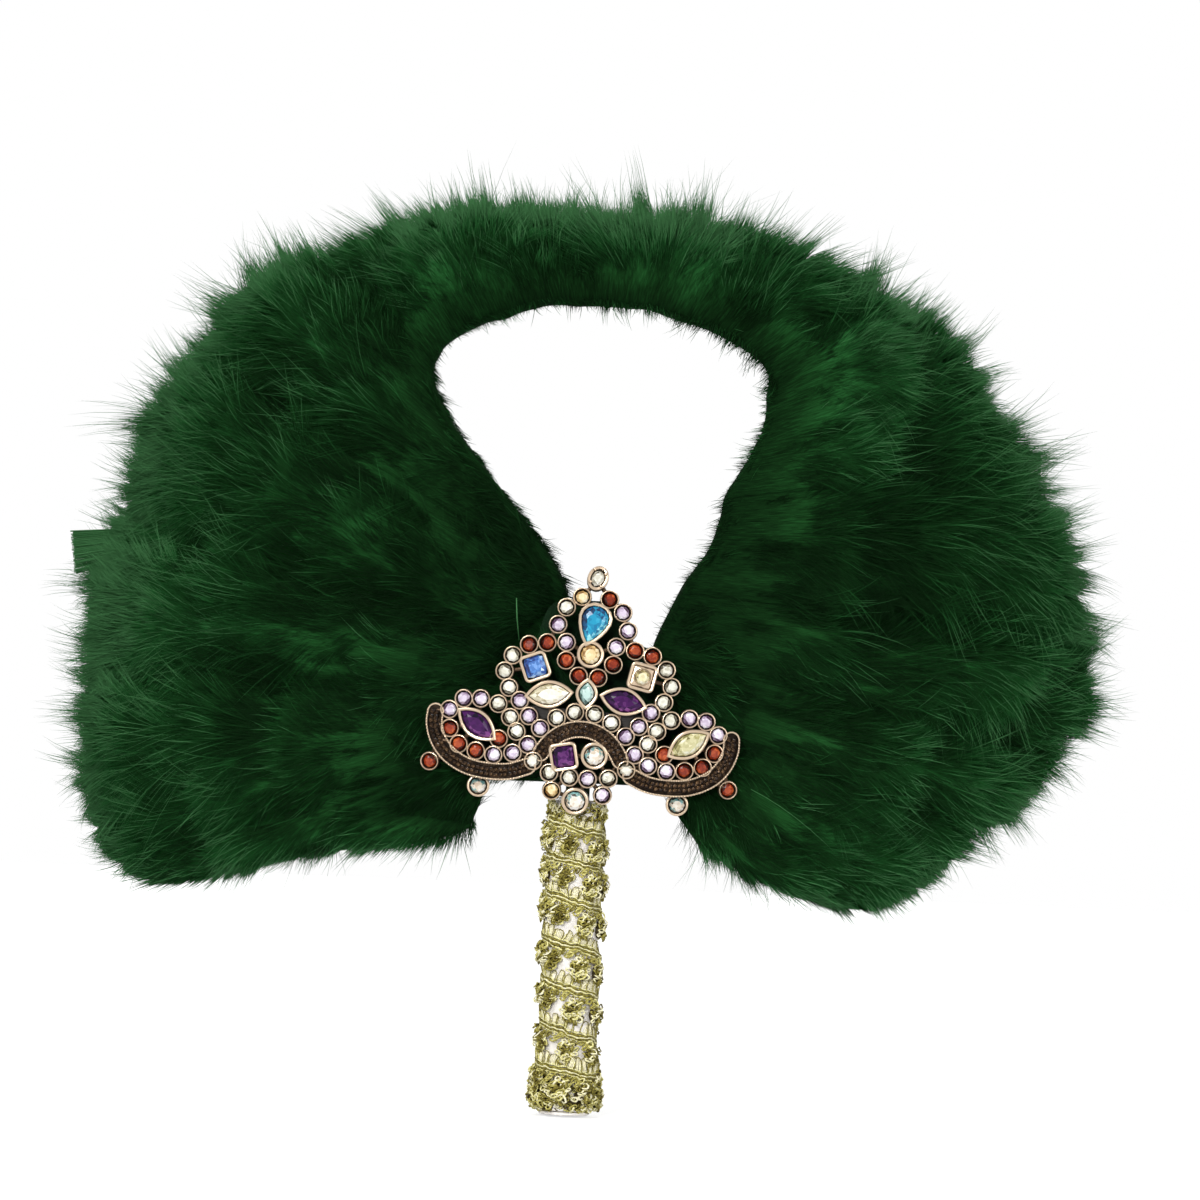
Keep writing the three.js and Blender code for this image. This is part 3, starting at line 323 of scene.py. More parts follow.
def down_face(place, share, bunch_width, facing, depth, skin=0.0):
    """The outer face of the down: where it lies, and how its barbs lie on it."""
    root, tip = through_ribs(roots, place), through_ribs(tips, place)
    length = np.linalg.norm(tip - root, axis=-1)
    outwards = (tip - root) / length[..., None]
    aside = np.stack([-outwards[..., 1], outwards[..., 0]], -1)
    pressed = pressed_at(place)
    run = held((share - pressed) / (1 - pressed))
    column = (place / bunch_width) % 1.0
    bulge = run * SCALLOP * (np.sin(math.pi * column) - 0.3) + skin * run ** 3
    bulge -= through_ribs(holds, place) * run ** 3
    # The opening is a little wider over its top, with a hollow at the left.
    over_opening = held(np.minimum(place - 5.2, 9.0 - place) * 2)
    hollow = 2.2 * over_opening + 4.2 * hill(place, 5.75, 0.33)
    hollow += 1.8 * hill(place, 9.5, 0.25) - 1.3 * hill(place, 8.95, 0.15)
    hollow -= 2.6 * hill(place, 4.75, 0.35)
    uneven = smooth_grain(place * 5.2, place * 0, 9) + 0.6 * smooth_grain(place * 13, place * 0, 4)
    bulge += (hollow - skin + 0.9 * over_opening * uneven) * (1 - share) ** 3
    ground = root + (tip - root) * share[..., None] + outwards * bulge[..., None]
    off_middle = 2 * column - 1
    crown = 1 - CROWN_DROP * np.abs(off_middle) ** 1.7
    swell = np.interp(run, *SWELL.T)
    level = FLAT_LEVEL + (depth * through_ribs(fullness, place) - 2.4) * swell * crown
    # The edges are rounded, at the opening and at the outside.
    for inside in (held(share * length / INNER_ROUND), held((1 - share) * length / OUTER_ROUND)):
        level = level * np.sqrt(1 - (1 - inside) ** 2)
    face = np.stack([ground[..., 0], -facing * level, ground[..., 1]], -1)
    turn_in = held(1 - share * length / TURNED_IN)
    splay = 0.5 * off_middle * held(run * 2)
    lay = outwards * (1 - 1.5 * turn_in)[..., None] - aside * splay[..., None]
    flow = np.stack([lay[..., 0], np.zeros_like(level), lay[..., 1]], -1)
    nap = (0.5 + 0.5 * held(run * 2.5)) * (1 - share ** 4 * (1 - through_ribs(naps, place)))
    nap *= 1 - 0.3 * turn_in
    # Painted light and shade: the down is painted lighter towards its tips, round the arch and
    # in one patch, and darker in its folds, along the pressed stretch and in two patches.
    arch = held(np.minimum(place - FIRST_ARCH_RIB - 0.2, LAST_ARCH_RIB - 1 - place))
    light = 0.76 + 0.86 * held((share - 0.45) * 1.8) ** 1.4 + 0.6 * arch
    light *= 0.7 + 0.3 * (crown - 1 + CROWN_DROP) / CROWN_DROP
    light *= 0.62 + 0.38 * held(run * 3)
    light *= 1 + 0.22 * share ** 3 * hill(place, 3.6, 1.2)
    light *= 1 - 0.22 * hill(place, 5.3, 0.7) - 0.3 * hill(place, 9.5, 1.2)
    strand = np.stack([place * LOCKS_PER_RIB, share * length, np.zeros_like(share)], -1)
    return face, flow, nap, light, strand


def net(rows, columns, start=0, flip=False, round_rows=False, round_columns=False):
    """The faces of a net of points, whose rows or columns may close to rounds."""
    faces = []
    for row in range(rows if round_rows else rows - 1):
        here, below = start + row * columns, start + (row + 1) % rows * columns
        for column in range(columns if round_columns else columns - 1):
            beside = (column + 1) % columns
            face = (here + column, here + beside, below + beside, below + column)
            faces.append(face[::-1] if flip else face)
    return faces


GROUND_SHARES = np.concatenate([[0, 0.006, 0.02, 0.05], np.linspace(0.1, 0.9, 17),
                                [0.94, 0.97, 0.985, 1.0]])
GROUND_COLUMNS = 169
GROUND_PULLED_IN = -2.2


def down_skin(name, bunch_width, facing, depth):
    """The open outer face, with values on its points, as the ground that the barbs grow from."""
    place, share = np.meshgrid(np.linspace(0, LAST_RIB, GROUND_COLUMNS), GROUND_SHARES)
    face, flow, nap, light, _ = down_face(place, share, bunch_width, facing, depth,
                                          GROUND_PULLED_IN)
    from_edge = share * np.linalg.norm(through_ribs(tips - roots, place), axis=-1)
    rim = np.maximum(held(1.6 - from_edge / 7), held((share - 0.8) * 5))
    thick = (0.5 + 0.5 * rim) * (1 + 1.3 * held((share - 0.93) * 20))
    return mesh_object(name, face, net(*share.shape, flip=facing < 0), MM,
                       place=place, nap=nap, light=light, flow=flow, thick=thick)


CORE_SHARES = np.concatenate([[0, 0.008, 0.02], np.linspace(0.04, 0.96, 48), [0.975, 0.99, 1.0]])
CORE_UNDER_GROUND, CORE_GAP = 1.0, 0.0002
BOARD_LEVEL, UNDER_TONE = 2.25, 0.2


def down_core(name, first, last, columns, bunch_width, facing, depth):
    """The dense body of one bunch, closed behind by the board and the middle of the fan."""
    rows = len(CORE_SHARES)
    place, share = np.meshgrid(np.linspace(first + CORE_GAP, last - CORE_GAP, columns), CORE_SHARES)
    over, _, _, light, strand = down_face(place, share, bunch_width, facing,
                                          depth - CORE_UNDER_GROUND)
    # Locks of barbs ridge the body along the way they lie.
    across, along = strand[..., 0], strand[..., 1]
    lock = smooth_grain(across / 2.4 + 0.8 * np.sin(along / 14), along / 15, 1)
    lock += 0.6 * smooth_grain(across / 1.1, along / 8, 2)
    plume = smooth_grain(across / 9, along / 24, 3)
    over[..., 1] -= facing * (0.55 * lock + 1.1 * plume - 0.6) * held(np.abs(over[..., 1]) / 8)
    # The tone carries the face's painted light. It is painted lighter where locks and plumes stand
    # out and darker between them as painted shade, and is darker towards the inner edge.
    tone = light * (0.52 + 0.15 * lock + 0.2 * plume)
    tone *= 0.5 + 0.5 * held(along / 45)
    # Behind, the body follows the same outline in a few wide strips.
    strips = [0, *np.searchsorted(CORE_SHARES, (0.1, 0.42)).tolist(), rows - 1]
    under = over[strips]
    behind = np.array([0.0, BOARD_LEVEL, BOARD_LEVEL, 0.0])[:, None]
    under[..., 1] = -facing * np.minimum(behind, np.abs(under[..., 1]))
    start = rows * columns
    faces = net(rows, columns, flip=facing < 0) + net(4, columns, start, facing > 0)
    for upper, (low, high) in enumerate(zip(strips, strips[1:])):
        for column in (0, columns - 1):
            wall = [row * columns + column for row in range(low, high + 1)]
            wall += [start + (upper + 1) * columns + column, start + upper * columns + column]
            faces.append(wall if (column == 0) == (facing > 0) else wall[::-1])
    made = mesh_object(name, np.concatenate([over, under]), faces, MM,
                       tone=np.concatenate([tone, np.full(under.shape[:2], UNDER_TONE)]),
                       strand=np.concatenate([strand, under]) * MM)
    merged = bmesh.new()
    merged.from_mesh(made.data)
    bmesh.ops.remove_doubles(merged, verts=merged.verts, dist=1e-7)
    bmesh.ops.dissolve_degenerate(merged, edges=merged.edges, dist=1e-8)
    merged.to_mesh(made.data)
    merged.free()
    made.data.shade_smooth()
    return made


class Recipe(Tree):
    """A geometry node tree with named inputs."""

    def __init__(self, name, **inputs):
        self.tree = bpy.data.node_groups.new(name, "GeometryNodeTree")
        face = self.tree.interface
        for way in ("OUTPUT", "INPUT"):
            face.new_socket("Geometry", in_out=way, socket_type="NodeSocketGeometry")
        self.identifiers = {label: face.new_socket(
            label, in_out="INPUT", socket_type="NodeSocket" + kind).identifier
            for label, kind in inputs.items()}
        self.start = self.tree.nodes.new("NodeGroupInput")
        self.end = self.tree.nodes.new("NodeGroupOutput")

    def given(self, label):
        return Wire(self, self.start.outputs[label])

    def form(self, label):
        """The geometry of the object that an input names."""
        return self.add("GeometryNodeObjectInfo", {"Object": self.given(label)}, out="Geometry")

    def here(self):
        return self.add("GeometryNodeInputPosition")

    def read(self, label, kind="FLOAT"):
        return self.add("GeometryNodeInputNamedAttribute", {"Name": label}, data_type=kind)

    def store(self, geometry, label, value, kind="FLOAT", domain="POINT"):
        return self.add("GeometryNodeStoreNamedAttribute", {
            "Geometry": geometry, "Name": label, "Value": value}, data_type=kind, domain=domain)

    def random(self, low, high, seed, number=None, kind="FLOAT"):
        return self.add("FunctionNodeRandomValue", {
            "Min": low, "Max": high, "ID": number, "Seed": seed}, data_type=kind)

    def spread(self, ground, distance, most, seed):
        """Evenly spread points on a ground."""
        return self.add("GeometryNodeDistributePointsOnFaces", {
            "Mesh": ground, "Distance Min": distance, "Density Max": most, "Seed": seed},
            distribute_method="POISSON")

    def instances(self, points, form, **named):
        return self.add("GeometryNodeInstanceOnPoints", {
            "Points": points, "Instance": form, **named})

    def real(self, geometry):
        return self.add("GeometryNodeRealizeInstances", geometry)

    def joined(self, *geometries):
        both = self.add("GeometryNodeJoinGeometry")
        for geometry in geometries:
            self.fill(both.socket.node.inputs[0], geometry)
        return both

    def finish(self, geometry, *more):
        """Closes the tree with geometry in its finish, joined with more if there is any."""
        geometry = self.add("GeometryNodeSetMaterial", {
            "Geometry": geometry, "Material": self.given("Finish")})
        geometry = self.joined(geometry, *more) if more else geometry
        self.fill(self.end.inputs[0], self.real(geometry))

    def put_on(self, piece, **values):
        modifier = piece.modifiers.new(self.tree.name, "NODES")
        modifier.node_group = self.tree
        for label, value in values.items():
            modifier[self.identifiers[label]] = value.owner if isinstance(value, Finish) else value

    def made(self, name, **values):
        """A new piece that the tree makes from its inputs alone."""
        start = place_new(name + "_start", bpy.data.meshes.new(name + "_start"))
        self.put_on(start, **values)
        return made_real(start, name)


def made_real(piece, name):
    """A plain mesh of what the node trees on a piece make, in place of the piece."""
    shown = piece.evaluated_get(bpy.context.evaluated_depsgraph_get())
    mesh = bpy.data.meshes.new_from_object(shown)
    mesh.name = name
    bpy.data.objects.remove(piece)
    return place_new(name, mesh)


def around(count):
    return [2 * math.pi * i / count for i in range(count)]


def barb(name, rings):
    """One barb: a thin three-sided spindle whose height is its run from root to tip."""
    points = [(0, 0, 0), *((width * math.cos(angle), width * math.sin(angle), run)
                           for run, width in rings for angle in around(3)), (0, 0, 1)]
    last, faces = len(points) - 1, []
    for side in range(3):
        beside = (side + 1) % 3
        faces.append((0, 1 + beside, 1 + side))
        for ring in range(1, last - 3, 3):
            faces.append((ring + side, ring + beside, ring + beside + 3, ring + side + 3))
        faces.append((last - 3 + side, last - 3 + beside, last))
    return mesh_object(name, points, faces)


short_barb = barb("short_barb", [(0.45, 1.0)])
long_barb = barb("long_barb", [(0.22, 0.9), (0.5, 1.0), (0.77, 0.6)])

grow = Recipe(
    "grow_down", Ground="Object", Barb="Object", First="Float", Last="Float", Density="Float",
    Length="Float", Width="Float", Lift="Float", Rise="Float", Droop="Float", Clump="Float",
    Stray="Float", Shade="Float", Seed="Int", Finish="Material")
PLUME_SPACING, LOCK_SPACING = 0.029, 0.0042
ground, where, place = grow.form("Ground"), grow.here(), grow.read("place")
points = grow.add("GeometryNodeDistributePointsOnFaces", {
    "Mesh": ground, "Seed": grow.given("Seed"),
    "Density": grow.given("Density") * grow.read("thick")})
points = grow.store(points, "up", points.beside("Normal"), "FLOAT_VECTOR")
inside = (place.sum("GREATER_THAN", grow.given("First"))
          * place.sum("LESS_THAN", grow.given("Last")))
points = grow.add("GeometryNodeSeparateGeometry", points, inside, domain="POINT")
flow, up = grow.read("flow", "FLOAT_VECTOR"), grow.read("up", "FLOAT_VECTOR")
across = up.cross(flow).unit()


def guides(distance, seed):
    """For each barb, the number and the place of the plume or lock that it belongs to."""
    spread = grow.spread(ground, distance, 4 / distance ** 2, seed)
    number = grow.add("GeometryNodeSampleNearest", spread, where, domain="POINT")
    return number, grow.add("GeometryNodeSampleIndex", {
        "Geometry": spread, "Value": where, "Index": number},
        data_type="FLOAT_VECTOR", domain="POINT")


(plume, plume_middle), (lock, lock_middle) = guides(PLUME_SPACING, 3), guides(LOCK_SPACING, 8)
beside_plume, past_plume = ((where - plume_middle).sum("DOT_PRODUCT", way) / PLUME_SPACING
                            for way in (across, flow))

# The barbs part on either side of their plume's quill, and their locks and plumes lie askew.
stray, clump = grow.given("Stray"), grow.given("Clump")
askew = beside_plume * 0.95 + grow.random(-0.4, 0.4, 11, plume) + grow.random(-0.2, 0.2, 12, lock)
askew = askew + grow.random(-1.0, 1.0, 13) * stray
lay = grow.add("ShaderNodeVectorRotate", {"Vector": flow, "Axis": up, "Angle": askew},
               rotation_type="AXIS_ANGLE").unit()
length = grow.given("Length") * grow.read("nap") * grow.random(0.82, 1.14, 31, lock)
length = length * grow.random(0.6, 1.15, 32) * grow.random(0.72, 1.25, 33, plume)
lift = grow.given("Lift") * grow.random(0.45, 1.35, 21, lock) * (past_plume * 0.8 + 1.0)
lift = lift + grow.random(-0.5, 0.5, 22) * stray
lift = lift.sum("MINIMUM", grow.given("Rise") / length)
rising = (lay + up * lift.sum("MAXIMUM", 0.05)).unit()
droop = length * (grow.given("Droop") * grow.random(-1.1, 0.1, 41, lock))
sway = (length * grow.random(-0.34, 0.34, 42, lock)
        + length * (grow.random(-0.5, 0.5, 43) * stray))
bow = up * droop + across * sway + (lock_middle - where) * clump
width = grow.given("Width") * grow.random(0.7, 1.3, 51)
face = rising.cross(across).unit() * width
# Each barb's tone: random by lock and plume, with painted shade towards the base of each plume and
# painted light towards its tip, times the Shade of its kind and the ground's painted light.
shade = grow.random(0.76, 1.12, 61, lock) * grow.random(0.74, 1.3, 62, plume)
shade = shade * (past_plume * 0.6 + 0.84) * grow.given("Shade") * grow.read("light")
for label, value in (("root", where), ("stem", rising * length), ("bow", bow),
                     ("side", across * width), ("face", face)):
    points = grow.store(points, label, value, "FLOAT_VECTOR")
points = grow.store(points, "shade", shade)
barbs = grow.real(grow.instances(points, grow.form("Barb")))
root, stem, bow, side, face = (
    grow.read(label, "FLOAT_VECTOR") for label in ("root", "stem", "bow", "side", "face"))
spindle = grow.add("ShaderNodeSeparateXYZ", where - root)
run = spindle.beside("Z")
bent = (root + stem * run + bow * run.sum("POWER", 1.8) + side * spindle
        + face * spindle.beside("Y"))
# The tone is darker towards the barb's root: painted shade in the depth of the down.
barbs = grow.store(barbs, "tone", grow.read("shade") * (run * 0.75 + 0.25))
barbs = grow.add("GeometryNodeSetPosition", {"Geometry": barbs, "Position": bent})
for label in ("root", "stem", "bow", "side", "face", "shade", "up", "flow", "nap", "place",
              "light", "thick"):
    barbs = grow.add("GeometryNodeRemoveAttribute", {"Geometry": barbs, "Name": label})
grow.finish(grow.add("GeometryNodeSetShadeSmooth", {"Geometry": barbs}), grow.given("Geometry"))

# The dye green, by tone: nearly black green in the depth of the down as painted shade, and
# clearer green along the thin tips as painted light. The dense body shows as fine strands too,
# which lie along the barbs.
DYE_AND_SHADE_STEPS = [(0.0, (0.0016, 0.0100, 0.0020)), (0.25, (0.0052, 0.0290, 0.0062)),
             (0.5, (0.0112, 0.0680, 0.0150)), (0.75, (0.0210, 0.1230, 0.0300)),
             (1.0, (0.0640, 0.2100, 0.0740))]
down_dye_and_shade = Finish("green_down_barbs", (0.012, 0.052, 0.0135), 0.7, Specular_IOR_Level=0.06)
down_dye_and_shade.colours(down_dye_and_shade.read("tone"), DYE_AND_SHADE_STEPS)
core_dye_and_shade = Finish("green_down_core", (0.005, 0.024, 0.006), 0.9, Specular_IOR_Level=0.04)
strands = core_dye_and_shade.spot((3600, 190, 1), core_dye_and_shade.read("strand", "Vector"))
fibres = core_dye_and_shade.noise(1, 4, strands, 0.8)
core_dye_and_shade.colours(fibres.sum("MULTIPLY_ADD", 0.9, -0.45) + core_dye_and_shade.read("tone"), DYE_AND_SHADE_STEPS)
core_dye_and_shade.relief(fibres, 0.7, 0.0006)

# For each face of the fan: bunches, facing, depth, barbs to a square metre, columns of a bunch's
# body, and its longest barbs. One barb in ten is long.
thinning = 1.0
for label, bunches, facing, depth, density, columns, longest in (
        ("front", 14, 1, 19.0, 2.85e6, 34, 0.025), ("back", 7, -1, 15.0, 1.2e6, 44, 0.023)):
    bunch_width = LAST_RIB / bunches
    whole = down_skin(label + "_ground", bunch_width, facing, depth)
    for bunch in range(bunches):
        ends = dict(First=bunch * bunch_width, Last=(bunch + 1) * bunch_width)
        name = f"{label}_down_{bunch + 1:02d}"
        core = down_core(name + "_core", *ends.values(), columns, bunch_width, facing, depth)
        core_dye_and_shade.on(core)
        grow.put_on(core, Ground=whole, Barb=short_barb, **ends, Density=density * thinning,
                    Length=0.0148, Width=0.000107 / thinning ** 0.5, Lift=0.26, Rise=0.0042,
                    Droop=0.5, Clump=0.24, Stray=0.16, Shade=0.86, Seed=17, Finish=down_dye_and_shade)
        # The long barbs' Shade of 1.95 paints them lighter: painted light on the thin hairs.
        grow.put_on(core, Ground=whole, Barb=long_barb, **ends, Density=density * thinning * 0.1,
                    Length=longest, Width=0.0001 / thinning ** 0.5, Lift=0.3, Rise=0.0066,
                    Droop=0.6, Clump=0.2, Stray=0.3, Shade=1.95, Seed=29, Finish=down_dye_and_shade)
        down = made_real(core, name)
        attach(down, "fan")
        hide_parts(f"{label}_tuft_{bunch + 1:02d}")
    bpy.data.objects.remove(whole)


# Handle: a turned dowel, wrapped in ivory satin ribbon that is glued along its edge, and closed by
# a padded satin disc at its lower end. The dowel and its two cross pins are bare wood, hidden.
SLEEVE_RADIUS, SLEEVE_BORE = 8.6, 7.0
SLEEVE_FOOT, SLEEVE_TOP = 1.5, 105.0
SLEEVE_ROWS = 150
RIBBON_PITCH = 21.0


def turned(name, profile, sides, ripple=None, closed=True, **values):
    """A body turned round the handle's axis from a profile of (radius, height) in mm."""
    points = []
    for radius, height in profile:
        for angle in around(sides):
            out = radius + (ripple(radius, angle, height) if ripple else 0)
            points.append((out * math.cos(angle), out * math.sin(angle), height))
    values = {label: np.full(len(points), value) for label, value in values.items()}
    faces = net(len(profile), sides, round_rows=closed, round_columns=True)
    made = mesh_object(name, points, faces, MM, **values)
    made.data.shade_smooth()
    return made


def ribbon_edge(radius, angle, height):
    """The satin lies a little lower where one turn of the ribbon meets the next."""
    if radius < SLEEVE_RADIUS - 0.5:
        return 0
    along = (height + RIBBON_PITCH * angle / (2 * math.pi)) % RIBBON_PITCH
    edge = math.exp(-(min(along, RIBBON_PITCH - along) / 0.35) ** 2)
    crease = math.sin(3 * angle + height * 0.35) * math.sin(height * 0.9 + 2 * angle)
    return -0.16 * edge + 0.05 * crease


sleeve = turned("satin_wrap", [
    (SLEEVE_RADIUS - 0.4, SLEEVE_FOOT), (SLEEVE_RADIUS - 0.1, SLEEVE_FOOT + 0.15),
    *((SLEEVE_RADIUS, SLEEVE_FOOT + 0.5 + (SLEEVE_TOP - SLEEVE_FOOT - 1.0) * row / SLEEVE_ROWS)
      for row in range(SLEEVE_ROWS + 1)),
    (SLEEVE_RADIUS - 0.15, SLEEVE_TOP - 0.15), (SLEEVE_RADIUS - 0.5, SLEEVE_TOP),
    (SLEEVE_BORE + 0.2, SLEEVE_TOP), (SLEEVE_BORE, SLEEVE_TOP - 0.3), (SLEEVE_BORE, SLEEVE_FOOT)],
    96, ribbon_edge)
disc = turned("satin_butt", [
    (0.02, 0), (4, 0), (7.8, 0), (8.3, 0.12), (8.58, 0.45), (8.58, 0.8), (8.3, 1.1), (7.8, 1.2),
    (4, 1.2), (0.02, 1.2)], 64)
satin = Finish("ivory_satin", (0.93, 0.88, 0.85), 0.36, Specular_IOR_Level=0.5, Anisotropic=0.5,
               Sheen_Weight=0.25, Sheen_Roughness=0.3)
satin.colours(satin.noise(90), [(0.3, (0.93, 0.875, 0.83)), (0.7, (0.97, 0.94, 0.91))])
satin.relief(satin.wave(900, 0.6, "Z"), 0.12, 0.0001)
satin.on(sleeve, disc)
for wrap, node in ((sleeve, "satin_sleeve"), (disc, "butt_disc")):
    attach(wrap, "fan")
    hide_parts(node)

bare_wood = Finish("bare_dowel", (0.45, 0.27, 0.12), 0.65)
bare_wood.colours(bare_wood.noise(1, 6, bare_wood.spot((260, 260, 14))),
                  [(0.3, (0.30, 0.17, 0.07)), (0.7, (0.52, 0.34, 0.17))])
bare_wood.on("handle_core", "tongue_pin_lower", "tongue_pin_upper")

# Lace: one length of crocheted galloon in olive-gold gimp, wound down the sleeve and glued. From
# top to bottom it has tall picot arches, a pair of cords, a ladder, and leafy scallops of loops.
LACE_REPEAT = 19.6
ARCHES = 7
LADDERS = 9
# Turns of the cords and the heights at which they cross the middle of the front, from half a turn
# before the first to where they end in the bunch round the butt.
CROSSINGS = np.array([
    (-0.42, 100.9), (0, 96.4), (1, 84.6), (2, 71.9), (3, 56.4), (4, 42.4), (5, 28.0), (5.55, 20.4),
    (6, 14.8), (6.35, 11.5)])
LACE_RADIUS = 9.15
# The tone of the net under the loops, below every thread: painted shade.
NET_PAINTED_SHADE = -0.75
lace_dice = np.random.default_rng(5)


def yarn(path, radius, sides=5, closed=False, twist=0.0):
    """The points and faces of one yarn that follows a path, with round ends unless it is closed."""
    path = np.asarray(path, float)
    along = np.roll(path, -1, 0) - np.roll(path, 1, 0) if closed else np.gradient(path, axis=0)
    along /= np.linalg.norm(along, axis=1)[:, None]
    wide = np.cross(along, [0.0, 0.0, 1.0])
    weak = np.linalg.norm(wide, axis=1) < 0.2
    wide[weak] = np.cross(along[weak], [0.0, 1.0, 0.0])
    wide /= np.linalg.norm(wide, axis=1)[:, None]
    tall = np.cross(wide, along)
    points = []
    for i, place in enumerate(path):
        for side in range(sides):
            angle = 2 * math.pi * side / sides + twist * i
            swell = radius * (1 + (0.22 if twist and side % 2 else 0))
            points.append(place + swell * (math.cos(angle) * wide[i] + math.sin(angle) * tall[i]))
    faces = net(len(path), sides, round_rows=closed, round_columns=True)
    if not closed:
        faces += [tuple(range(sides))[::-1], tuple(range(len(points) - sides, len(points)))]
    return points, faces


class Skein:
    """Yarns gathered into one mesh, each with its own tone."""

    def __init__(self):
        self.points, self.faces, self.tones = [], [], []

    def add(self, path, radius, tone, **kind):
        points, faces = yarn(path, radius, **kind)
        start = len(self.points)
        self.points += points
        self.faces += [tuple(start + i for i in face) for face in faces]
        self.tones += [tone] * len(points)

    def loop(self, middle, width, height, turn, tilt, radius, tone, steps=7, sides=4):
        """A small crocheted loop, tilted out of the lace."""
        c, s, path = math.cos(turn), math.sin(turn), []
        for angle in around(steps):
            x, y = width / 2 * math.cos(angle), height / 2 * math.sin(angle)
            path.append((middle[0] + c * x - s * y, middle[1] + s * x + c * y,
                         middle[2] + tilt * y + 0.25 * math.sin(2 * angle)))
        self.add(path, radius, tone, closed=True, sides=sides)

    def object(self, name):
        made = mesh_object(name, self.points, self.faces, MM, tone=self.tones)
        made.data.shade_smooth()
        return made


motif = Skein()
pitch = LACE_REPEAT / ARCHES
for arch in range(ARCHES):
    left = LACE_REPEAT * arch / ARCHES
    rise = 3.3 + 1.2 * lace_dice.random()
    lean = 0.12 * lace_dice.standard_normal()
    legs = [(0.08, 1.0), (0.09, 2.4), (0.13, 1.0 + 0.78 * rise), (0.28, 1.0 + 0.95 * rise),
            (0.5, 1.0 + rise), (0.72, 1.0 + 0.95 * rise), (0.87, 1.0 + 0.78 * rise), (0.91, 2.4),
            (0.92, 1.0)]
    motif.add([(left + (share + lean * across / 5) * pitch, across, 0.3 + 0.15 * lace_dice.random())
               for share, across in legs], 0.14, 0.35 * lace_dice.random() + 0.12, sides=4)
    # Pale threads fill each arch, and a few short ones stand between the arches.
    for share in (0.2 + 0.15 * thread for thread in range(5)):
        top = 0.9 + rise * (1 - 0.9 * (share - 0.5) ** 2 * 4 * 0.35)
        motif.add([(left + (share + lean * across / 5) * pitch + 0.05 * lace_dice.standard_normal(),
                    across, -0.14) for across in (0.9, 2.2, top)], 0.17, 1.7, sides=4)
    for share in (0.0, 0.06):
        motif.add([(left + share * pitch, 0.9, 0.1), (left + (share + 0.02) * pitch, 2.0, 0.2),
                   (left + share * pitch, 2.7 + 0.8 * lace_dice.random(), 0.12)],
                  0.2, 0.95, sides=4)
CORD_STEPS = 25
for across, lift, radius, tone in ((1.15, 0.2, 0.3, 1.0), (0.45, 0.45, 0.33, 0.2),
                                   (-0.15, 0.62, 0.26, 1.1), (-0.75, 0.45, 0.33, 0.2),
                                   (-1.4, 0.3, 0.3, 0.95)):
    motif.add([(LACE_REPEAT * i / (CORD_STEPS - 1),
                across + 0.16 * math.sin(i * 1.5 + across), lift) for i in range(CORD_STEPS)],
              radius, tone, twist=0.6)
for ladder in range(LADDERS):
    motif.loop((LACE_REPEAT * (ladder + 0.5) / LADDERS, -2.1, 0.25), 1.6, 1.3,
               0.4 * lace_dice.standard_normal(), 0.15, 0.24, 0.2 + 0.9 * lace_dice.random())
# Each scallop is a bunch of leaves: small pointed loops that stand off the satin every way. Under
# the leaves of a deep one lies a pad of net painted dark, as painted shade under the leaves.
for lobe_at, drop, leaves in ((0.19, 4.2, 24), (0.45, 1.2, 5), (0.7, 5.0, 30), (0.95, 1.2, 5)):
    if drop > 2:
        motif.loop((LACE_REPEAT * lobe_at, -1.7 - drop, -0.1), 3.4, 0.95 * drop, 0, 0, 1.1,
                   NET_PAINTED_SHADE, steps=9, sides=5)
    for leaf in range(leaves):
        angle, out = 2.4 * leaf, math.sqrt((leaf + 0.5) / leaves)
        middle = (LACE_REPEAT * lobe_at + 3.2 * out * math.cos(angle),
                  -1.6 - drop + (0.6 * drop + 0.6) * out * math.sin(angle),
                  0.7 + 1.9 * (1 - out * out) * lace_dice.random() + 0.3 * lace_dice.random())
        motif.loop(middle, 1.9 + 0.8 * lace_dice.random(), 0.9 + 0.4 * lace_dice.random(),
                   math.pi * lace_dice.random(), 1.0 * lace_dice.standard_normal(),
                   0.3, 1.3 * lace_dice.random() ** 1.3)
motif_object = motif.object("lace_motif")

# The path of the cords round the sleeve, which swings out a little over the bunch at the butt.
PATH_STEPS, SMOOTHED_OVER, BUNCH_TOP, BUNCH_RISE = 430, 41, 19, 1.5
turns = np.linspace(CROSSINGS[0, 0], CROSSINGS[-1, 0], PATH_STEPS)
heights = np.pad(np.interp(turns, *CROSSINGS.T), SMOOTHED_OVER // 2, mode="reflect",
                 reflect_type="odd")
heights = np.convolve(heights, np.ones(SMOOTHED_OVER) / SMOOTHED_OVER, "valid")
reaches = LACE_RADIUS + BUNCH_RISE * held((BUNCH_TOP - heights) / 5)
path_mesh = bpy.data.meshes.new("lace_path")
path_mesh.from_pydata([
    (r * MM * math.sin(2 * math.pi * t), -r * MM * math.cos(2 * math.pi * t), z * MM)
    for t, z, r in zip(turns, heights, reaches)], [(i, i + 1) for i in range(len(turns) - 1)], [])
path_object = place_new("lace_path", path_mesh)
path_length = float(np.sum(np.hypot(np.diff(turns) * 2 * math.pi * reaches[1:], np.diff(heights))))

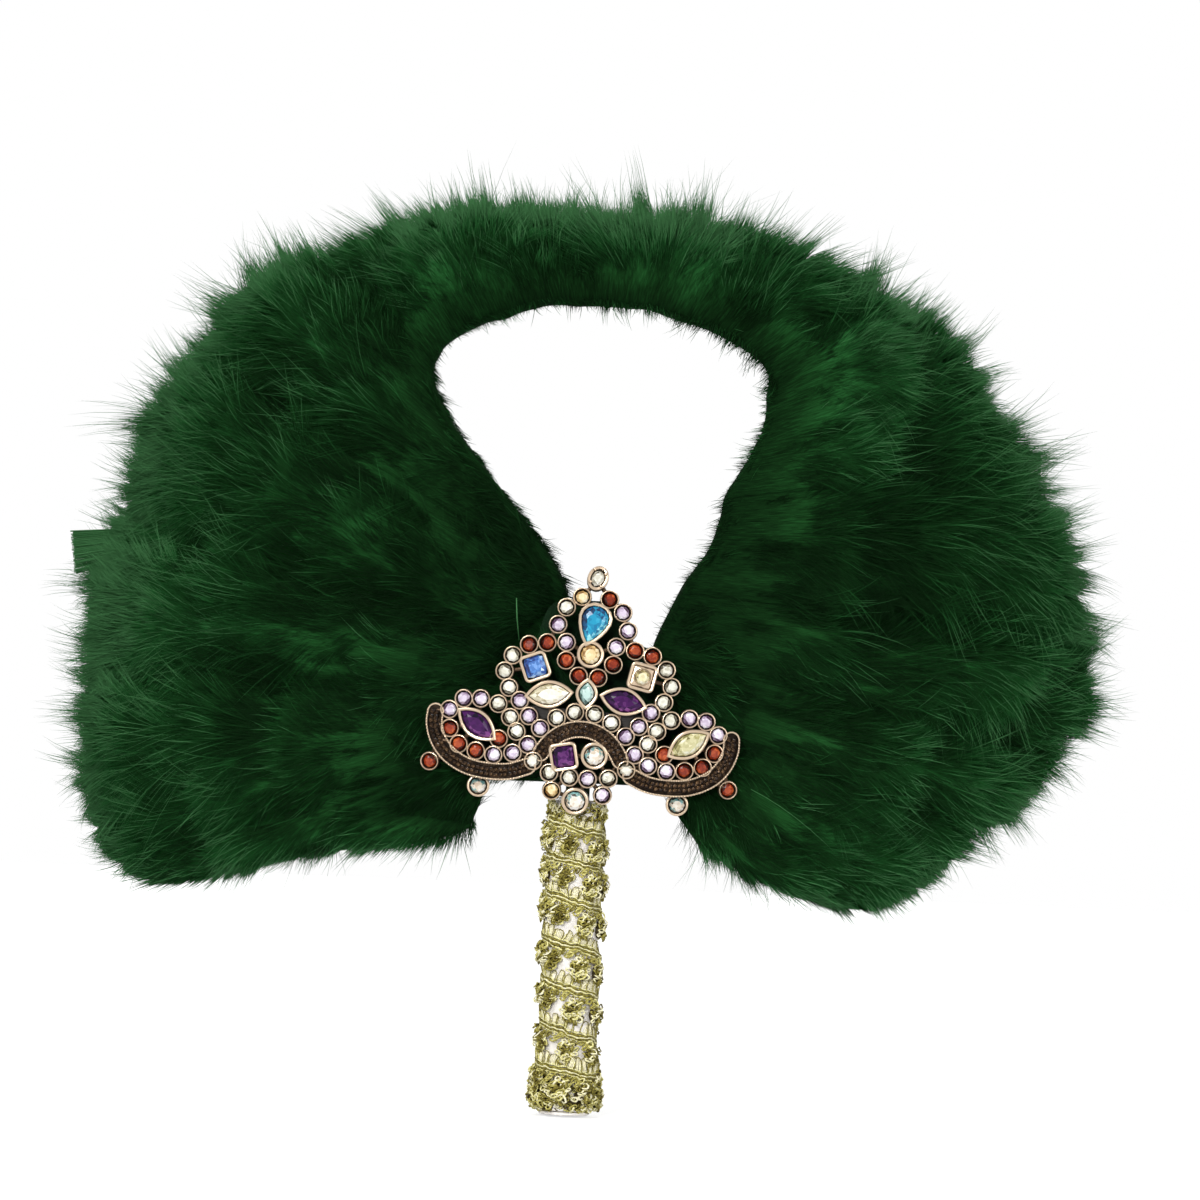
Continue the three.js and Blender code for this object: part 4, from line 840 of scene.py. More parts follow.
wind = Recipe("wind_lace", Motif="Object", Path="Object", Repeats="Int", Pitch="Float",
              Looseness="Float", Finish="Material")
step = wind.add("ShaderNodeCombineXYZ", wind.given("Pitch"), 0.0, 0.0)
repeat = wind.add("GeometryNodeMeshLine", {"Count": wind.given("Repeats"), "Offset": step},
                  mode="OFFSET")
strip = wind.real(wind.instances(repeat, wind.form("Motif")))
ruffle = wind.add("ShaderNodeTexNoise", {"Vector": wind.here(), "Scale": 160.0, "Detail": 1.0},
                  out="Color")
laid = wind.add("ShaderNodeSeparateXYZ", wind.here() + (ruffle - (0.5, 0.5, 0.5))
                * wind.given("Looseness"))
at = wind.add("GeometryNodeSampleCurve", {
    "Curves": wind.add("GeometryNodeMeshToCurve", wind.form("Path")), "Length": laid},
    out="Position", mode="LENGTH", use_all_curves=True)
out = (at * (1, 1, 0)).unit()
upward = out.cross(at.beside("Tangent")).unit()
wind.finish(wind.add("GeometryNodeSetPosition", {
    "Geometry": strip, "Position": at + upward * laid.beside("Y") + out * laid.beside("Z")}))

gimp = Finish("olive_gold_gimp", (0.5, 0.46, 0.16), 0.5, Specular_IOR_Level=0.22)
fleck = gimp.noise(1300)
own_tone = gimp.read("tone") + gimp.read("own")
gimp.colours(own_tone.sum("MULTIPLY_ADD", 0.6, fleck.sum("MULTIPLY_ADD", 0.9, -0.22)), [
    (0.12, (0.045, 0.030, 0.004)), (0.36, (0.205, 0.170, 0.022)), (0.6, (0.53, 0.475, 0.125)),
    (0.8, (0.80, 0.755, 0.34)), (1.0, (0.95, 0.90, 0.64))])
gimp.relief(fleck, 0.4, 0.0002)
repeats = round(path_length / LACE_REPEAT)
galloon = wind.made("lace_galloon", Motif=motif_object, Path=path_object, Repeats=repeats,
                    Pitch=path_length / repeats * MM, Looseness=0.0034, Finish=gimp)
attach(galloon, "fan")
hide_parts("lace_winding")

# The end of the lace, gathered round the butt: loops bunched on top of each other, over a closed
# net painted dark as painted shade between the loops. A narrower bunch closes the lace at its top.
BUNCH = [(8.8, 2.0), (10.4, 2.4), (11.2, 4.2), (11.3, 7.0), (10.6, 10.0), (10.9, 12.6),
         (10.0, 15.2), (8.8, 16.2)]
COLLAR = [(9.0, 98.6), (9.4, 100.4), (9.5, 102.6), (8.9, 104.6)]


def bunched(radius, angle, height):
    """The bunch bulges at its lower left and lower right, and is lumpy all round."""
    lumps = math.sin(4 * angle + height * 0.55) * math.cos(height * 0.42 + 2 * angle)
    return 0.9 * math.cos(2 * angle + 0.4) + 1.1 * lumps - 0.6


knots = Skein()
knots.loop((0, 0, 0.2), 2.4, 1.2, 0, 0.5, 0.3, 0.6)
knots.loop((0.5, 0.3, -0.2), 1.8, 1.0, 1.2, 0.3, 0.28, 0.1)
knot = knots.object("lace_loop")
bunch = Recipe("bunch_loops", Ground="Object", Core="Object", Loop="Object", Spacing="Float",
               Seed="Int", Finish="Material")
spread = bunch.spread(bunch.form("Ground"), bunch.given("Spacing"), 2.5e6, bunch.given("Seed"))
spin = bunch.random((-0.9, -0.9, -3.1), (0.9, 0.9, 3.1), 0, kind="FLOAT_VECTOR")
loops = bunch.instances(
    spread, bunch.form("Loop"), Scale=bunch.random(0.7, 1.2, 6),
    Rotation=bunch.add("FunctionNodeRotateRotation", spread.beside("Rotation"), spin,
                       rotation_space="LOCAL"))
loops = bunch.store(loops, "own", bunch.random(-0.6, 0.85, 9), domain="INSTANCE")
bunch.finish(bunch.joined(bunch.real(loops), bunch.form("Core")))
for label, profile, ripple, spacing, seed in (("cuff", BUNCH, bunched, 1.35, 4),
                                              ("collar", COLLAR, None, 1.5, 8)):
    ground = turned(label + "_ground", profile, 48, ripple, closed=False)
    inside = [*((r - 0.9, z) for r, z in profile), (8.0, profile[-1][1]), (8.0, profile[0][1])]
    core = turned(label + "_core", inside, 48, ripple, tone=NET_PAINTED_SHADE)
    gathered = bunch.made("lace_" + label, Ground=ground, Core=core, Loop=knot,
                          Spacing=spacing * MM, Seed=seed, Finish=gimp)
    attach(gathered, "fan")
    if label == "cuff":
        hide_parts("lace_butt_cuff")
    bpy.data.objects.remove(ground)
    bpy.data.objects.remove(core)
for template in (motif_object, path_object, knot):
    bpy.data.objects.remove(template)

# Loose ends: one broad feather tip cut square that stands out at the left, a pale quill beside the
# brooch, a pale stray hair over the right lobe, and a tuft that hangs into the opening.
PICTURE_MIDDLE, PICTURE_FOOT, PIXELS_PER_MM = 563.5, 1116, 3


def fan_place(right, down, level):
    """A place on the fan, in mm, for a point of the 1200 by 1200 picture."""
    x, z = (right - PICTURE_MIDDLE) / PIXELS_PER_MM, (PICTURE_FOOT - down) / PIXELS_PER_MM
    c, s = math.cos(LEAN), math.sin(LEAN)
    return (x * c - z * s, -level, x * s + z * c)


loose_dice = np.random.default_rng(12)
loose = Skein()
for strand in range(110):
    share = (strand + loose_dice.random()) / 110
    root_place = (158 + 10 * loose_dice.random(), 545 + 12 * (share - 0.5))
    tip_place = (69 + 3 * loose_dice.random() + 4 * share, 552 + 43 * (share - 0.5))
    level = 5.5 + 0.8 * loose_dice.standard_normal()
    loose.add([fan_place(*root_place, 7.5), fan_place(112, 546 + 34 * (share - 0.5), level),
               fan_place(*tip_place, level - 1)], 0.15, 0.85 + 0.45 * loose_dice.random(), sides=3)
loose.add([fan_place(519, 640, 5.5), fan_place(517, 618, 8.2), fan_place(516.5, 598, 8.6)],
          0.2, 1.25)
loose.add([fan_place(750 + 120 * t, 788 + 60 * t + 44 * t * t, 21 - 9 * t * t)
           for t in np.linspace(0, 1, 9)], 0.09, 1.2, sides=3)
for strand in range(90):
    share = loose_dice.random()
    right, down = 693 + 66 * share, 300 + 30 * share * share + 6 * loose_dice.random()
    fall = (12 + 30 * loose_dice.random()) * (0.4 + 0.8 * share)
    drift = -2 - 8 * loose_dice.random()
    loose.add([fan_place(right, down - 6, 2.6),
               fan_place(right + drift * 0.3, down + fall * 0.5, 4.0),
               fan_place(right + drift, down + fall, 5.0)],
              0.09, 0.2 + 0.4 * loose_dice.random(), sides=3)
loose = loose.object("loose_feather_ends")
down_dye_and_shade.on(loose)
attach(loose, "fan")

# Hub: felt patches glued over the feather roots, front and back, with the card ring between them.
# The back patch is held by a running stitch, and at the front short down is pressed over the felt.
felt = Finish("dark_green_felt", (0.006, 0.02, 0.008), 0.95, Specular_IOR_Level=0.05,
              Sheen_Weight=0.15, Sheen_Roughness=0.5)
fibre = felt.noise(900, 5, distortion=2.5)
felt.colours(fibre * felt.noise(70),
             [(0.12, (0.0025, 0.009, 0.0035)), (0.42, (0.011, 0.036, 0.014))])
felt.relief(fibre, 0.6, 0.0003)
felt.on("hub_front_cover", "hub_back_cover")
card = Finish("green_card", (0.012, 0.03, 0.014), 0.85, Specular_IOR_Level=0.2)
pulp = card.noise(500, 6)
card.colours(pulp, [(0.35, (0.007, 0.019, 0.009)), (0.65, (0.016, 0.04, 0.019))])
card.relief(pulp, 0.2, 0.0001)
card.on("horseshoe_board")

# The short down at the front lies on a sheet just over the felt and streams out from its middle.
HUB_MIDDLE, HUB_FOOT, HUB_HEAD = 147.0, 111.3, 171.2
HUB_FOOT_HALF, HUB_HEAD_HALF, HUB_FELT_LEVEL = 28.5, 6.5, 4.6
across, upwards = np.meshgrid(np.linspace(-1, 1, 21), np.linspace(0, 1, 25))
sheet_x = across * (HUB_FOOT_HALF + (HUB_HEAD_HALF - HUB_FOOT_HALF) * upwards)
sheet_z = HUB_FOOT + (HUB_HEAD - HUB_FOOT) * upwards
ways = np.stack([sheet_x * 1.2, np.zeros_like(sheet_x), sheet_z - HUB_MIDDLE + 6], -1)
ways[..., 2] = np.maximum(ways[..., 2], 4 - 0.3 * np.abs(ways[..., 0]))
nap = 1 - 0.6 * held((sheet_x + 6) / 10) * held((sheet_z - 140) / 12)
nap *= 1 - 0.5 * held((sheet_z - 162) / 8)
nap *= 1 - 0.7 * held((116.5 - sheet_z) / 4)
even = np.ones(sheet_x.shape)
# Its painted light is an even 0.8, and its barbs have a Shade of 0.72.
hub_ground = mesh_object("hub_ground", np.stack([sheet_x, -HUB_FELT_LEVEL * even, sheet_z], -1),
                         net(*sheet_x.shape), MM, place=even * 0.5, nap=nap, light=even * 0.8,
                         flow=ways / np.linalg.norm(ways, axis=-1)[..., None], thick=even)
hub_down = grow.made("hub_down", Ground=hub_ground, Barb=short_barb, First=0.0, Last=1.0,
                     Density=4.0e6, Length=0.0085, Width=0.00012,
                     Lift=0.12, Rise=0.0007, Droop=0.3, Clump=0.3, Stray=0.2, Shade=0.72, Seed=41,
                     Finish=down_dye_and_shade)
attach(hub_down, "fan")

# The running stitch: short stitches of thick thread, sunk a little at both ends, 3 mm inside the
# back patch's edge.
set_in = Recipe("set_in_places", Places="Object", Form="Object", Size="Float", Seed="Int",
                Finish="Material")
placed = set_in.instances(
    set_in.form("Places"), set_in.form("Form"), Scale=set_in.given("Size"),
    Rotation=set_in.add("FunctionNodeEulerToRotation", set_in.read("stand", "FLOAT_VECTOR")))
set_in.finish(set_in.real(set_in.store(
    placed, "own", set_in.random(-0.5, 0.5, set_in.given("Seed")), domain="INSTANCE")))


def set_many(name, stands, form, finish, seed=1, size=MM):
    """One piece of the same form at many places, from a list of placing matrices."""
    places = mesh_object("places", [stand.to_translation() for stand in stands], [],
                         stand=[stand.to_euler("XYZ") for stand in stands])
    piece = set_in.made(name, Places=places, Form=form, Size=size, Seed=seed, Finish=finish)
    bpy.data.objects.remove(places)
    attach(piece, "fan")
    return piece


def rounded(corners, radius, steps=5):
    """An outline with its corners rounded."""
    outline = []
    for i, corner in enumerate(corners):
        here = Vector(corner)
        back, on = Vector(corners[i - 1]) - here, Vector(corners[(i + 1) % len(corners)]) - here
        start, end = here + back.normalized() * radius, here + on.normalized() * radius
        outline += [tuple(start * (1 - t) ** 2 + here * 2 * t * (1 - t) + end * t * t)
                    for t in (step / steps for step in range(steps + 1))]
    return outline


def run_along(line, places=None):
    """How far along a line its points are, or points at places along it."""
    run = np.concatenate([[0], np.cumsum(np.linalg.norm(np.diff(line, axis=0), axis=1))])
    if places is None:
        return run
    return np.stack([np.interp(places, run, line[:, i]) for i in (0, 1)], 1)


STITCH_HALF, STITCH_PITCH, STITCH_RADIUS, SEAM_INSET = 1.3, 4.2, 0.28, 3
SEAM_FOOT_HALF, SEAM_HEAD_HALF = 25.2, 9.3
stitch = Skein()
stitch.add([(-STITCH_HALF, 0, -0.25), (-STITCH_HALF + 0.25, 0, 0.1), (0, 0, 0.22),
            (STITCH_HALF - 0.25, 0, 0.1), (STITCH_HALF, 0, -0.25)], STITCH_RADIUS, 0.55, sides=8,
           twist=0.7)
stitch_form = stitch.object("stitch_form")
low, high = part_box("hub_back_cover")
foot, head = low[2] / MM + SEAM_INSET, high[2] / MM - SEAM_INSET
seam = rounded([(-SEAM_FOOT_HALF, foot), (SEAM_FOOT_HALF, foot), (SEAM_HEAD_HALF, head),
                (-SEAM_HEAD_HALF, head)], 5)
seam = np.array(seam + seam[:1])
seam_length = run_along(seam)[-1]
stitches = int(seam_length / STITCH_PITCH)
seam_places = run_along(seam, np.arange(stitches) * seam_length / stitches)
stitch_stands, out = [], Vector((0, 1, 0))
for (x, z), ahead in zip(seam_places, np.roll(seam_places, -1, 0)):
    along = Vector((ahead[0] - x, 0, ahead[1] - z)).normalized()
    turn = Matrix((along, out.cross(along), out)).transposed().to_4x4()
    stitch_stands.append(Matrix.Translation(Vector((x, high[1] / MM, z)) * MM) @ turn)
thread = Finish("green_thread", (0.012, 0.05, 0.02), 0.55)
thread.colours(thread.wave(500, 1.5), [(0.2, (0.006, 0.024, 0.01)), (0.8, (0.022, 0.085, 0.034))])
set_many("back_patch_stitches", stitch_stands, stitch_form, thread, size=1.0)
for template in (hub_ground, stitch_form):
    bpy.data.objects.remove(template)


# Brooch: an openwork casting in antiqued rose gold metal, bent over a shallow dome. Round cups,
# bezels and channel rails are soldered to a lattice of bars, and the stones are set in them.
HALF_SPAN = 52.0
BROOCH_PLACE = Matrix((
    (0.99854, 0.05408, 0, 1.0 * MM), (0, 0, -1, -4.7 * MM),
    (-0.05408, 0.99854, 0, 130.39 * MM), (0, 0, 0, 1)))
DOME_RISE, DOME_RADIUS, DOME_CENTRE = 8.0, 62.0, 6.7


def dome(x, y):
    return DOME_RISE * (1 - (x * x + (y - DOME_CENTRE) ** 2) / DOME_RADIUS ** 2)


def on_brooch(stand):
    """A place in mm of the brooch, in metres of the fan."""
    return BROOCH_PLACE @ Matrix.Scale(MM, 4) @ stand


def seat(x, y, turn=0.0, rise=0.0):
    """Where a setting stands on the dome: mm of its own to metres of the fan, with z outwards."""
    slope_x, slope_y = (-2 * DOME_RISE * v / DOME_RADIUS ** 2 for v in (x, y - DOME_CENTRE))
    out = Vector((-slope_x, -slope_y, 1)).normalized()
    right = Vector((1, 0, slope_x)).normalized()
    stand = Matrix((right, out.cross(right), out)).transposed().to_4x4()
    place = Matrix.Translation((x, y, dome(x, y) + rise))
    return on_brooch(place @ stand @ Matrix.Rotation(turn, 4, "Z"))


class Metalwork:
    """Closed bodies gathered into one mesh, with how worn bright each point is."""

    def __init__(self):
        self.points, self.faces, self.shine = [], [], []

    def skin(self, rings, shine, place=None, pairs=False, closed=False):
        """A body over rings of points, from its underside to its inside, or closed to a ring."""
        count, start = len(rings[0]), len(self.points)
        for ring, bright in zip(rings, shine):
            self.points += [tuple(place @ Vector(p) if place else p) for p in ring]
            self.shine += [bright] * count
        self.faces += net(len(rings), count, start, round_rows=closed, round_columns=True)
        last = start + (len(rings) - 1) * count
        if pairs:
            for i in range(count // 2 - 1):
                j = count - 1 - i
                self.faces += [(start + i, start + j, start + j - 1, start + i + 1),
                               (last + i, last + i + 1, last + j - 1, last + j)]
        elif not closed:
            self.faces += [tuple(range(start, start + count))[::-1],
                           tuple(range(last, last + count))]

    def cup(self, profile, count, place=None):
        """A round body, from its profile of radius, height and shine."""
        self.skin([circle(r, h, count) for r, h, _ in profile], [s for *_, s in profile], place)

    def object(self, name, smooth=35):
        made = mesh_object(name, self.points, self.faces, shine=self.shine)
        made.data.validate()
        made.data.shade_smooth()
        made.data.set_sharp_from_angle(angle=math.radians(smooth))
        return made


def circle(radius, height, count):
    return [(radius * math.cos(a), radius * math.sin(a), height) for a in around(count)]


def outset(outline, distance, height):
    """The outline of a stone, moved outwards, at a height."""
    flat = np.array(outline, float)
    outwards = []
    for edge in (flat - np.roll(flat, 1, 0), np.roll(flat, -1, 0) - flat):
        edge = edge / np.linalg.norm(edge, axis=1)[:, None]
        outwards.append(np.stack([edge[:, 1], -edge[:, 0]], 1))
    middle = outwards[0] + outwards[1]
    middle /= np.linalg.norm(middle, axis=1)[:, None]
    corner = np.minimum(1 / np.maximum((middle * outwards[0]).sum(1), 0.3), 1.35)
    return [(x, y, height) for x, y in flat + middle * (distance * corner)[:, None]]


def marquise(length, width, steps=14):
    half = [(length * (0.5 - share), width / 2 * math.sin(math.pi * share) ** 0.85)
            for share in (step / steps for step in range(steps))]
    return half + [(-x, -y) for x, y in half]


def pear(length, width):
    shoulder = np.array([
        (0, -0.5), (0.16, -0.37), (0.31, -0.2), (0.42, -0.03), (0.48, 0.14), (0.46, 0.28),
        (0.36, 0.4), (0.2, 0.475), (0, 0.5)])
    left = shoulder[-2:0:-1] * (-1, 1)
    return [(x * width, y * length) for x, y in np.concatenate([shoulder, left])]


def round_outline(diameter):
    return [(x, y) for x, y, _ in circle(diameter / 2, 0, 24)]


def square(half_x, half_y, radius, steps=5):
    return rounded([(-half_x, -half_y), (half_x, -half_y), (half_x, half_y), (-half_x, half_y)],
                   radius, steps)


# Small cups and their stones, as shares of the half span on the right; each has a twin on the left.
# c clear, l lilac, g garnet, p champagne: first the left twin's stone, then the right one's. Last
# comes the red stone at the end of each arm, which sits lower.
SMALL_CUPS = [
    (0.087, 0.812, "pg"), (0.179, 0.737, "cl"), (0.222, 0.624, "ll"), (0.158, 0.517, "ll"),
    (0.279, 0.503, "gg"), (0.392, 0.48, "gg"), (0.15, 0.403, "gg"), (0.488, 0.402, "cc"),
    (0.062, 0.312, "gg"), (0.53, 0.299, "cc"), (0.492, 0.197, "cc"), (0.416, 0.123, "ll"),
    (0.549, 0.088, "cc"), (0.663, 0.11, "ll"), (0.771, 0.1, "ll"), (0.855, 0.023, "ll"),
    (0.063, 0.081, "cc"), (0.174, 0.035, "cc"), (0.349, 0.03, "ll"), (0.466, 0.01, "cc"),
    (0.271, -0.04, "ll"), (0.418, -0.075, "cc"), (0.841, -0.095, "gg"), (0.526, -0.132, "gg"),
    (0.339, -0.151, "ll"), (0.776, -0.19, "gg"), (0.43, -0.213, "ll"), (0.663, -0.222, "gg"),
    (0.55, -0.237, "ll"), (0.296, -0.25, "cc"), (0.188, -0.315, "cc"), (0.058, -0.331, "cl"),
    (0.162, -0.426, "pl"), (0.951, -0.318, "gg")]
RED_CUP_RISE = -1.0
rises = [0.0] * (len(SMALL_CUPS) - 1) + [RED_CUP_RISE]
small_places = [(side * x * HALF_SPAN, y * HALF_SPAN, rise, kind)
                for (x, y, kinds), rise in zip(SMALL_CUPS, rises)
                for side, kind in zip((-1, 1), kinds)]

# The metal is bright on its worn rims and nearly black brown where polish never reaches.
rose_gold = Finish("antique_rose_gold", (0.6, 0.45, 0.33), 0.3, Metallic=0.85)
tarnish = rose_gold.noise(420, 4)
worn = tarnish.sum("MULTIPLY_ADD", 0.75, rose_gold.read("shine"))
rose_gold.colours(worn, [
    (0.35, (0.010, 0.006, 0.0035)), (0.7, (0.085, 0.052, 0.030)), (1.0, (0.31, 0.22, 0.145)),
    (1.3, (0.60, 0.465, 0.33))])
rose_gold.set(Roughness=rose_gold.between(worn, 0.5, 0.28))
rose_gold.relief(tarnish, 0.25, 0.0001)

# The open cup of a small stone, by radius, height and shine.
cup = Metalwork()
cup.cup([(2.8, 0.0, 0.0), (3.2, 0.25, 0.05), (3.26, 1.2, 0.1), (3.24, 2.5, 0.35), (3.16, 2.9, 0.7),
         (3.02, 3.12, 0.9), (2.86, 3.16, 0.95), (2.7, 3.02, 0.7), (2.58, 2.7, 0.2), (2.5, 2.0, 0.0),
         (1.9, 1.6, 0.0), (0.4, 1.5, 0.0)], 16)
cup_form = cup.object("cup_form")
set_many("small_cups", [seat(x, y, rise=rise) for x, y, rise, _ in small_places], cup_form,
         rose_gold)


def cut_stone(name, outline, facets, levels, seed):
    """A cut stone with flat facets, each with its own painted flash; levels are (share, height)
    rings.
    """
    dice = np.random.default_rng(seed)
    closed = np.array([*outline, outline[0]], float)
    length = run_along(closed)[-1]
    points = []
    for row, (share, height) in enumerate(levels):
        shift = 0.5 * (row > 1) * ((row - 1) % 2)
        edge = run_along(closed, (np.arange(facets) + shift) / facets * length % length)
        points += [(x * share, y * share, height) for x, y in edge]
    faces = [tuple(range(facets))[::-1], *net(2, facets, round_columns=True)]
    for row in range(1, len(levels) - 1):
        low, high = row * facets, (row + 1) * facets
        for i in range(facets):
            j = (i + 1) % facets
            faces += ([(low + i, low + j, high + i), (low + j, high + j, high + i)] if row % 2 else
                      [(low + i, high + j, high + i), (low + i, low + j, high + j)])
    faces.append(tuple(range(len(points) - facets, len(points))))
    # Painted light and reflection: facets on the lower right are painted glowing, those on the
    # upper left painted dark, the flat top in between, and each facet gets a random painted flash.
    centres = np.array([np.mean([points[i] for i in face], 0) for face in faces])
    slant = np.cos(np.arctan2(centres[:, 1], centres[:, 0]) + 0.9)
    flash = 0.45 + 0.3 * slant + 0.7 * (dice.random(len(faces)) - 0.5)
    flash[-1] = 0.5 + 0.2 * dice.random()
    return mesh_object(name, points, faces, domain="FACE", flash=flash)


# Foiled glass: each facet is painted with a lighter or darker flash of the stone's colour, as
# painted reflection; the lightest steps are painted highlights.
STONE_COLOURS_AND_FLASH = {
    "clear": [(0.09, 0.075, 0.05), (0.50, 0.47, 0.36), (0.84, 0.82, 0.70), (0.97, 0.97, 0.90)],
    "lilac": [(0.07, 0.03, 0.075), (0.36, 0.26, 0.39), (0.72, 0.62, 0.76), (0.95, 0.92, 0.96)],
    "garnet": [(0.025, 0.003, 0.001), (0.12, 0.01, 0.003), (0.29, 0.032, 0.008),
               (0.58, 0.12, 0.035)],
    "champagne": [(0.25, 0.12, 0.03), (0.66, 0.43, 0.16), (0.90, 0.72, 0.40), (0.98, 0.92, 0.70)],
    "teal": [(0.0, 0.015, 0.06), (0.0, 0.11, 0.28), (0.01, 0.36, 0.58), (0.40, 0.90, 0.96)],
    "blue": [(0.008, 0.022, 0.12), (0.025, 0.09, 0.36), (0.12, 0.30, 0.70), (0.62, 0.80, 0.97)],
    "purple": [(0.006, 0.001, 0.014), (0.026, 0.003, 0.045), (0.065, 0.008, 0.095),
               (0.26, 0.07, 0.28)],
    "aqua": [(0.04, 0.10, 0.09), (0.22, 0.40, 0.37), (0.58, 0.78, 0.72), (0.94, 0.98, 0.95)],
    "cream": [(0.40, 0.34, 0.19), (0.78, 0.72, 0.52), (0.93, 0.90, 0.76), (0.98, 0.97, 0.9)],
    "citrine": [(0.16, 0.14, 0.04), (0.44, 0.40, 0.16), (0.77, 0.73, 0.44), (0.95, 0.94, 0.76)],
    "gold": [(0.14, 0.10, 0.04), (0.52, 0.43, 0.18), (0.85, 0.77, 0.46), (0.97, 0.94, 0.82)],
    "iridescent": [(0.06, 0.045, 0.03), (0.20, 0.46, 0.46), (0.60, 0.45, 0.30), (0.88, 0.84, 0.74),
                   (0.97, 0.95, 0.92)],
    "dark": [(0.003, 0.0015, 0.001), (0.014, 0.007, 0.004), (0.05, 0.026, 0.012),
             (0.26, 0.15, 0.07)],
}
GLOSS = {"dark": 0.05, "purple": 0.08, "garnet": 0.15, "blue": 0.2, "teal": 0.25}
glass = {}
for name, steps in STONE_COLOURS_AND_FLASH.items():
    gloss = GLOSS.get(name, 0.4)
    stone = glass[name] = Finish(name + "_stone_finish", steps[1], 0.06, Coat_Weight=gloss,
                                 Specular_IOR_Level=min(0.5, 0.1 + gloss), Coat_Roughness=0.02)
    # Fine cells add painted sparkle within each facet.
    inside = stone.add("ShaderNodeTexVoronoi", {"Vector": stone.spot(), "Scale": 900}, out="Color")
    flash = stone.read("flash").sum("MULTIPLY_ADD", 1.05, -0.16)
    flash = stone.add("ShaderNodeSeparateColor", inside).sum("MULTIPLY_ADD", 0.28, flash)
    stone.colours(stone.read("own").sum("MULTIPLY_ADD", 0.3, flash),
                  [(i / (len(steps) - 1), step) for i, step in enumerate(steps)])
small_form = cut_stone("small_form", round_outline(4.4), 8,
                       [(0.35, 1.55), (1.0, 2.15), (0.82, 2.6), (0.55, 2.95)], 2)
for kind, colour, slot in (("c", "clear", "clear_stone"), ("l", "lilac", "purple_stone"),
                           ("g", "garnet", "dark_stone"), ("p", "champagne", "champagne_stone")):
    stands = [seat(x, y, 1.7 * i, rise) for i, (x, y, rise, k) in enumerate(small_places)
              if k == kind]
    set_many("small_" + colour + "_stones", stands, small_form, glass[colour], ord(kind))

# Large stones: node, colour, outline, place in shares of the half span, turn in degrees, facets.
SQUARE, MARQUISE = square(3.4, 3.4, 0.7), marquise(13.4, 6.8)
LARGE_STONES = [
    ("tip_stone", "clear", [(x * 0.88, y * 1.2) for x, y in round_outline(5.0)], 0, 0.938, -18, 8),
    ("teal_pear_stone", "teal", pear(12.4, 9.2), 0, 0.643, -14, 14),
    ("champagne_round_stone", "champagne", round_outline(6.6), 0, 0.454, 0, 10),
    ("blue_square_stone", "blue", SQUARE, -0.34, 0.343, 24, 12),
    ("upper_iridescent_stone", "iridescent", SQUARE, 0.34, 0.343, -10, 12),
    ("aqua_marquise_stone", "aqua", marquise(7.6, 5), 0, 0.205, 90, 10),
    ("cream_marquise_stone", "cream", MARQUISE, -0.236, 0.179, 10, 12),
    ("purple_marquise_stone", "purple", MARQUISE, 0.236, 0.179, -10, 12),
    ("left_purple_marquise_stone", "purple", MARQUISE, -0.672, -0.054, -34, 12),
    ("citrine_marquise_stone", "citrine", MARQUISE, 0.672, -0.054, 34, 12),
    ("purple_square_stone", "purple", SQUARE, -0.106, -0.205, 14, 12),
    ("iridescent_round_stone", "iridescent", round_outline(6.6), 0.086, -0.181, 0, 10),
    ("bottom_iridescent_stone", "iridescent", round_outline(6.6), -0.008, -0.478, 0, 10),
]
SLOTS = {"iridescent": "clear_stone", "gold": "clear_stone", "lilac": "purple_stone"}
BEZEL = [  # distance from the stone, height, shine
    (1.2, 0.0, 0.1), (1.3, 0.3, 0.2), (1.3, 2.6, 0.5), (1.15, 3.1, 0.85), (0.8, 3.3, 0.95),
    (0.3, 3.2, 0.8), (0.1, 2.9, 0.4), (0.1, 1.1, 0.0)]
PLATE = [(0.05, 1.2, 0.1), (0.05, 2.5, 0.5), (-0.5, 2.7, 0.75)]
PLATE_CUP = [(3.0, 2.4, 0.2), (3.05, 3.2, 0.7), (2.85, 3.35, 0.95), (2.7, 3.1, 0.6),
             (2.7, 2.4, 0.0)]
casting = Metalwork()
for node, colour, outline, x, y, turn, facets in LARGE_STONES:
    stand = seat(x * HALF_SPAN, y * HALF_SPAN, math.radians(turn))
    plated = node == "upper_iridescent_stone"
    # One square setting is closed by a plate with a round stone in it.
    for wall in (BEZEL, PLATE) if plated else (BEZEL,):
        casting.skin([outset(outline, out, h) for out, h, _ in wall], [s for *_, s in wall], stand)
    if plated:
        casting.cup(PLATE_CUP, 20, stand)
        outline, facets, colour = round_outline(5.3), 10, "gold"
    stone = cut_stone(node.replace("_stone", "_cut"), outline, facets, [
        (0.7, 1.25), (1.0 if facets > 10 else 0.97, 2.75), (0.8, 3.5), (0.56, 4.0)], len(node))
    stone.data.transform(stand)
    glass[colour].on(stone)
    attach(stone, "fan")
    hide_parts(node)
    SLOTS.get(colour, colour + "_stone")

# The tip stone's four claws.
CLAW = [(0.55, 2.9, 0.4), (0.62, 3.5, 0.8), (0.4, 4.0, 1.0), (0.12, 4.15, 1.0)]
for angle in (math.pi * (i + 0.5) / 2 - 0.3 for i in range(4)):
    casting.cup(CLAW, 8, seat(2.7 * math.cos(angle), 0.938 * HALF_SPAN + 3.1 * math.sin(angle)))

